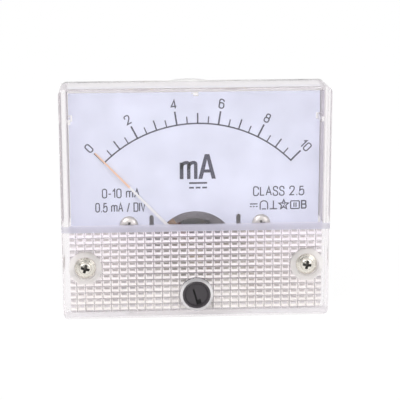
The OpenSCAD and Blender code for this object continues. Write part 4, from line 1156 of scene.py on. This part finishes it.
def add_floor(values):
    """A wide pale floor that keeps the meter's shadow."""
    bm = bmesh.new()
    bmesh.ops.create_grid(bm, x_segments=8, y_segments=8, size=3.0)
    mesh = bpy.data.meshes.new("floor")
    bm.to_mesh(mesh)
    bm.free()
    floor = bpy.data.objects.new("floor", mesh)
    floor.location = (0, 0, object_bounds()[0].z - FLOOR_GAP)
    bpy.context.scene.collection.objects.link(floor)
    material, tree, shader = new_finish("pale_floor")
    shader.inputs["Roughness"].default_value = 0.7
    mottle = spread(tree, grain(tree, object_place(tree), 60), 0, 1)
    tones = blend(tree, mottle, shade(values.floor, 0.99), shade(values.floor, 1.01))
    feed(tree, shader.inputs["Base Color"], tones)
    glow = add_node(tree, "ShaderNodeEmission", Color=WHITE, Strength=FLOOR_GLOW).outputs["Emission"]
    share = both(tree, seen_directly(tree), GLOW_SHARE)
    feed(tree, surface_of(tree), mix_shaders(tree, share, shader.outputs["BSDF"], glow))
    mesh.materials.append(material)
    floor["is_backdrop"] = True


def light_world(scene, values):
    """Soft light from all round; white where it is seen directly, with a dim opening in front."""
    world = bpy.data.worlds.new("studio")
    scene.world = world
    world.use_nodes = True
    tree = world.node_tree
    tree.nodes.clear()
    _, y, z = axes_of(tree, add_node(tree, "ShaderNodeTexCoord").outputs["Generated"])
    opening = both(tree, *(fade(tree, value, *ends, 1.0, 0.0, interpolation_type="SMOOTHSTEP")
                           for value, ends in ((y, (-0.7, -0.25)), (z, (0.4, 0.6)))))
    rays = add_node(tree, "ShaderNodeLightPath").outputs
    mirrored = both(tree, rays["Is Glossy Ray"], within(tree, rays["Transmission Depth"], -0.5, 0.5))
    sight = blend(tree, both(tree, opening, mirrored), WHITE, (values.opening,) * 3)
    soft, white = (add_node(tree, "ShaderNodeBackground", Color=tone, Strength=strength).outputs["Background"]
                   for tone, strength in ((WHITE, values.sky), (sight, 1.0)))
    output = add_node(tree, "ShaderNodeOutputWorld")
    feed(tree, output.inputs["Surface"], mix_shaders(tree, seen_directly(tree), soft, white))


def add_lamp(name, place, size, power):
    """A square soft lamp that faces the meter."""
    data = bpy.data.lights.new(name, "AREA")
    data.shape = "SQUARE"
    data.size = size
    data.energy = power
    lamp = bpy.data.objects.new(name, data)
    lamp.location = place
    lamp.rotation_mode = "QUATERNION"
    lamp.rotation_quaternion = (-Vector(place)).to_track_quat("-Z", "Y")
    bpy.context.scene.collection.objects.link(lamp)


def add_camera(scene, values):
    """The camera, a little above the meter and a little to its left."""
    data = bpy.data.cameras.new("camera")
    data.lens, data.sensor_width = values.lens, 36.0
    data.shift_x, data.shift_y = values.shift_x, values.shift_y
    data.clip_start, data.clip_end = 0.01, 20.0
    camera = bpy.data.objects.new("camera", data)
    turn, rise = values.azimuth, values.elevation
    back = Vector((math.sin(turn) * math.cos(rise), -math.cos(turn) * math.cos(rise), math.sin(rise)))
    camera.location = back * values.distance
    camera.rotation_mode = "QUATERNION"
    roll = Matrix.Rotation(-values.roll, 3, "Z").to_quaternion()
    camera.rotation_quaternion = (-back).to_track_quat("-Z", "Y") @ roll
    scene.collection.objects.link(camera)
    scene.camera = camera


OPERATORS = (METER_OT_mouldings, METER_OT_dial, METER_OT_scale, METER_OT_legend, METER_OT_pointer,
             METER_OT_moving_coil, METER_OT_movement, METER_OT_mounting, METER_OT_terminals,
             METER_OT_adjuster, METER_OT_leads, METER_OT_stage)
GROUPS = {"meter_print": MeterPrint, "meter_finish": MeterFinish, "meter_stage": MeterStage}


class METER_PT_panel(bpy.types.Panel):
    """Lists the meter's operators"""
    bl_label = "Panel meter"
    bl_idname = "METER_PT_panel"
    bl_space_type = "VIEW_3D"
    bl_region_type = "UI"
    bl_category = "Meter"

    def draw(self, context):
        for operator in OPERATORS:
            self.layout.operator(operator.bl_idname)
        for group in GROUPS:
            box = self.layout.box()
            values = getattr(context.scene, group)
            for name in values.__annotations__:
                box.prop(values, name)


def register():
    for group in GROUPS.values():
        bpy.utils.register_class(group)
    for name, group in GROUPS.items():
        setattr(bpy.types.Scene, name, bpy.props.PointerProperty(type=group))
    for operator in OPERATORS:
        bpy.utils.register_class(operator)
    bpy.utils.register_class(METER_PT_panel)


def unregister():
    bpy.utils.unregister_class(METER_PT_panel)
    for operator in reversed(OPERATORS):
        bpy.utils.unregister_class(operator)
    for name, group in GROUPS.items():
        delattr(bpy.types.Scene, name)
        bpy.utils.unregister_class(group)


def main():
    register()
    for operator in OPERATORS:
        section, name = operator.bl_idname.split(".")
        if getattr(getattr(bpy.ops, section), name)() != {"FINISHED"}:
            raise RuntimeError(f"{operator.bl_label} did not finish")


if __name__ == "__main__":
    main()
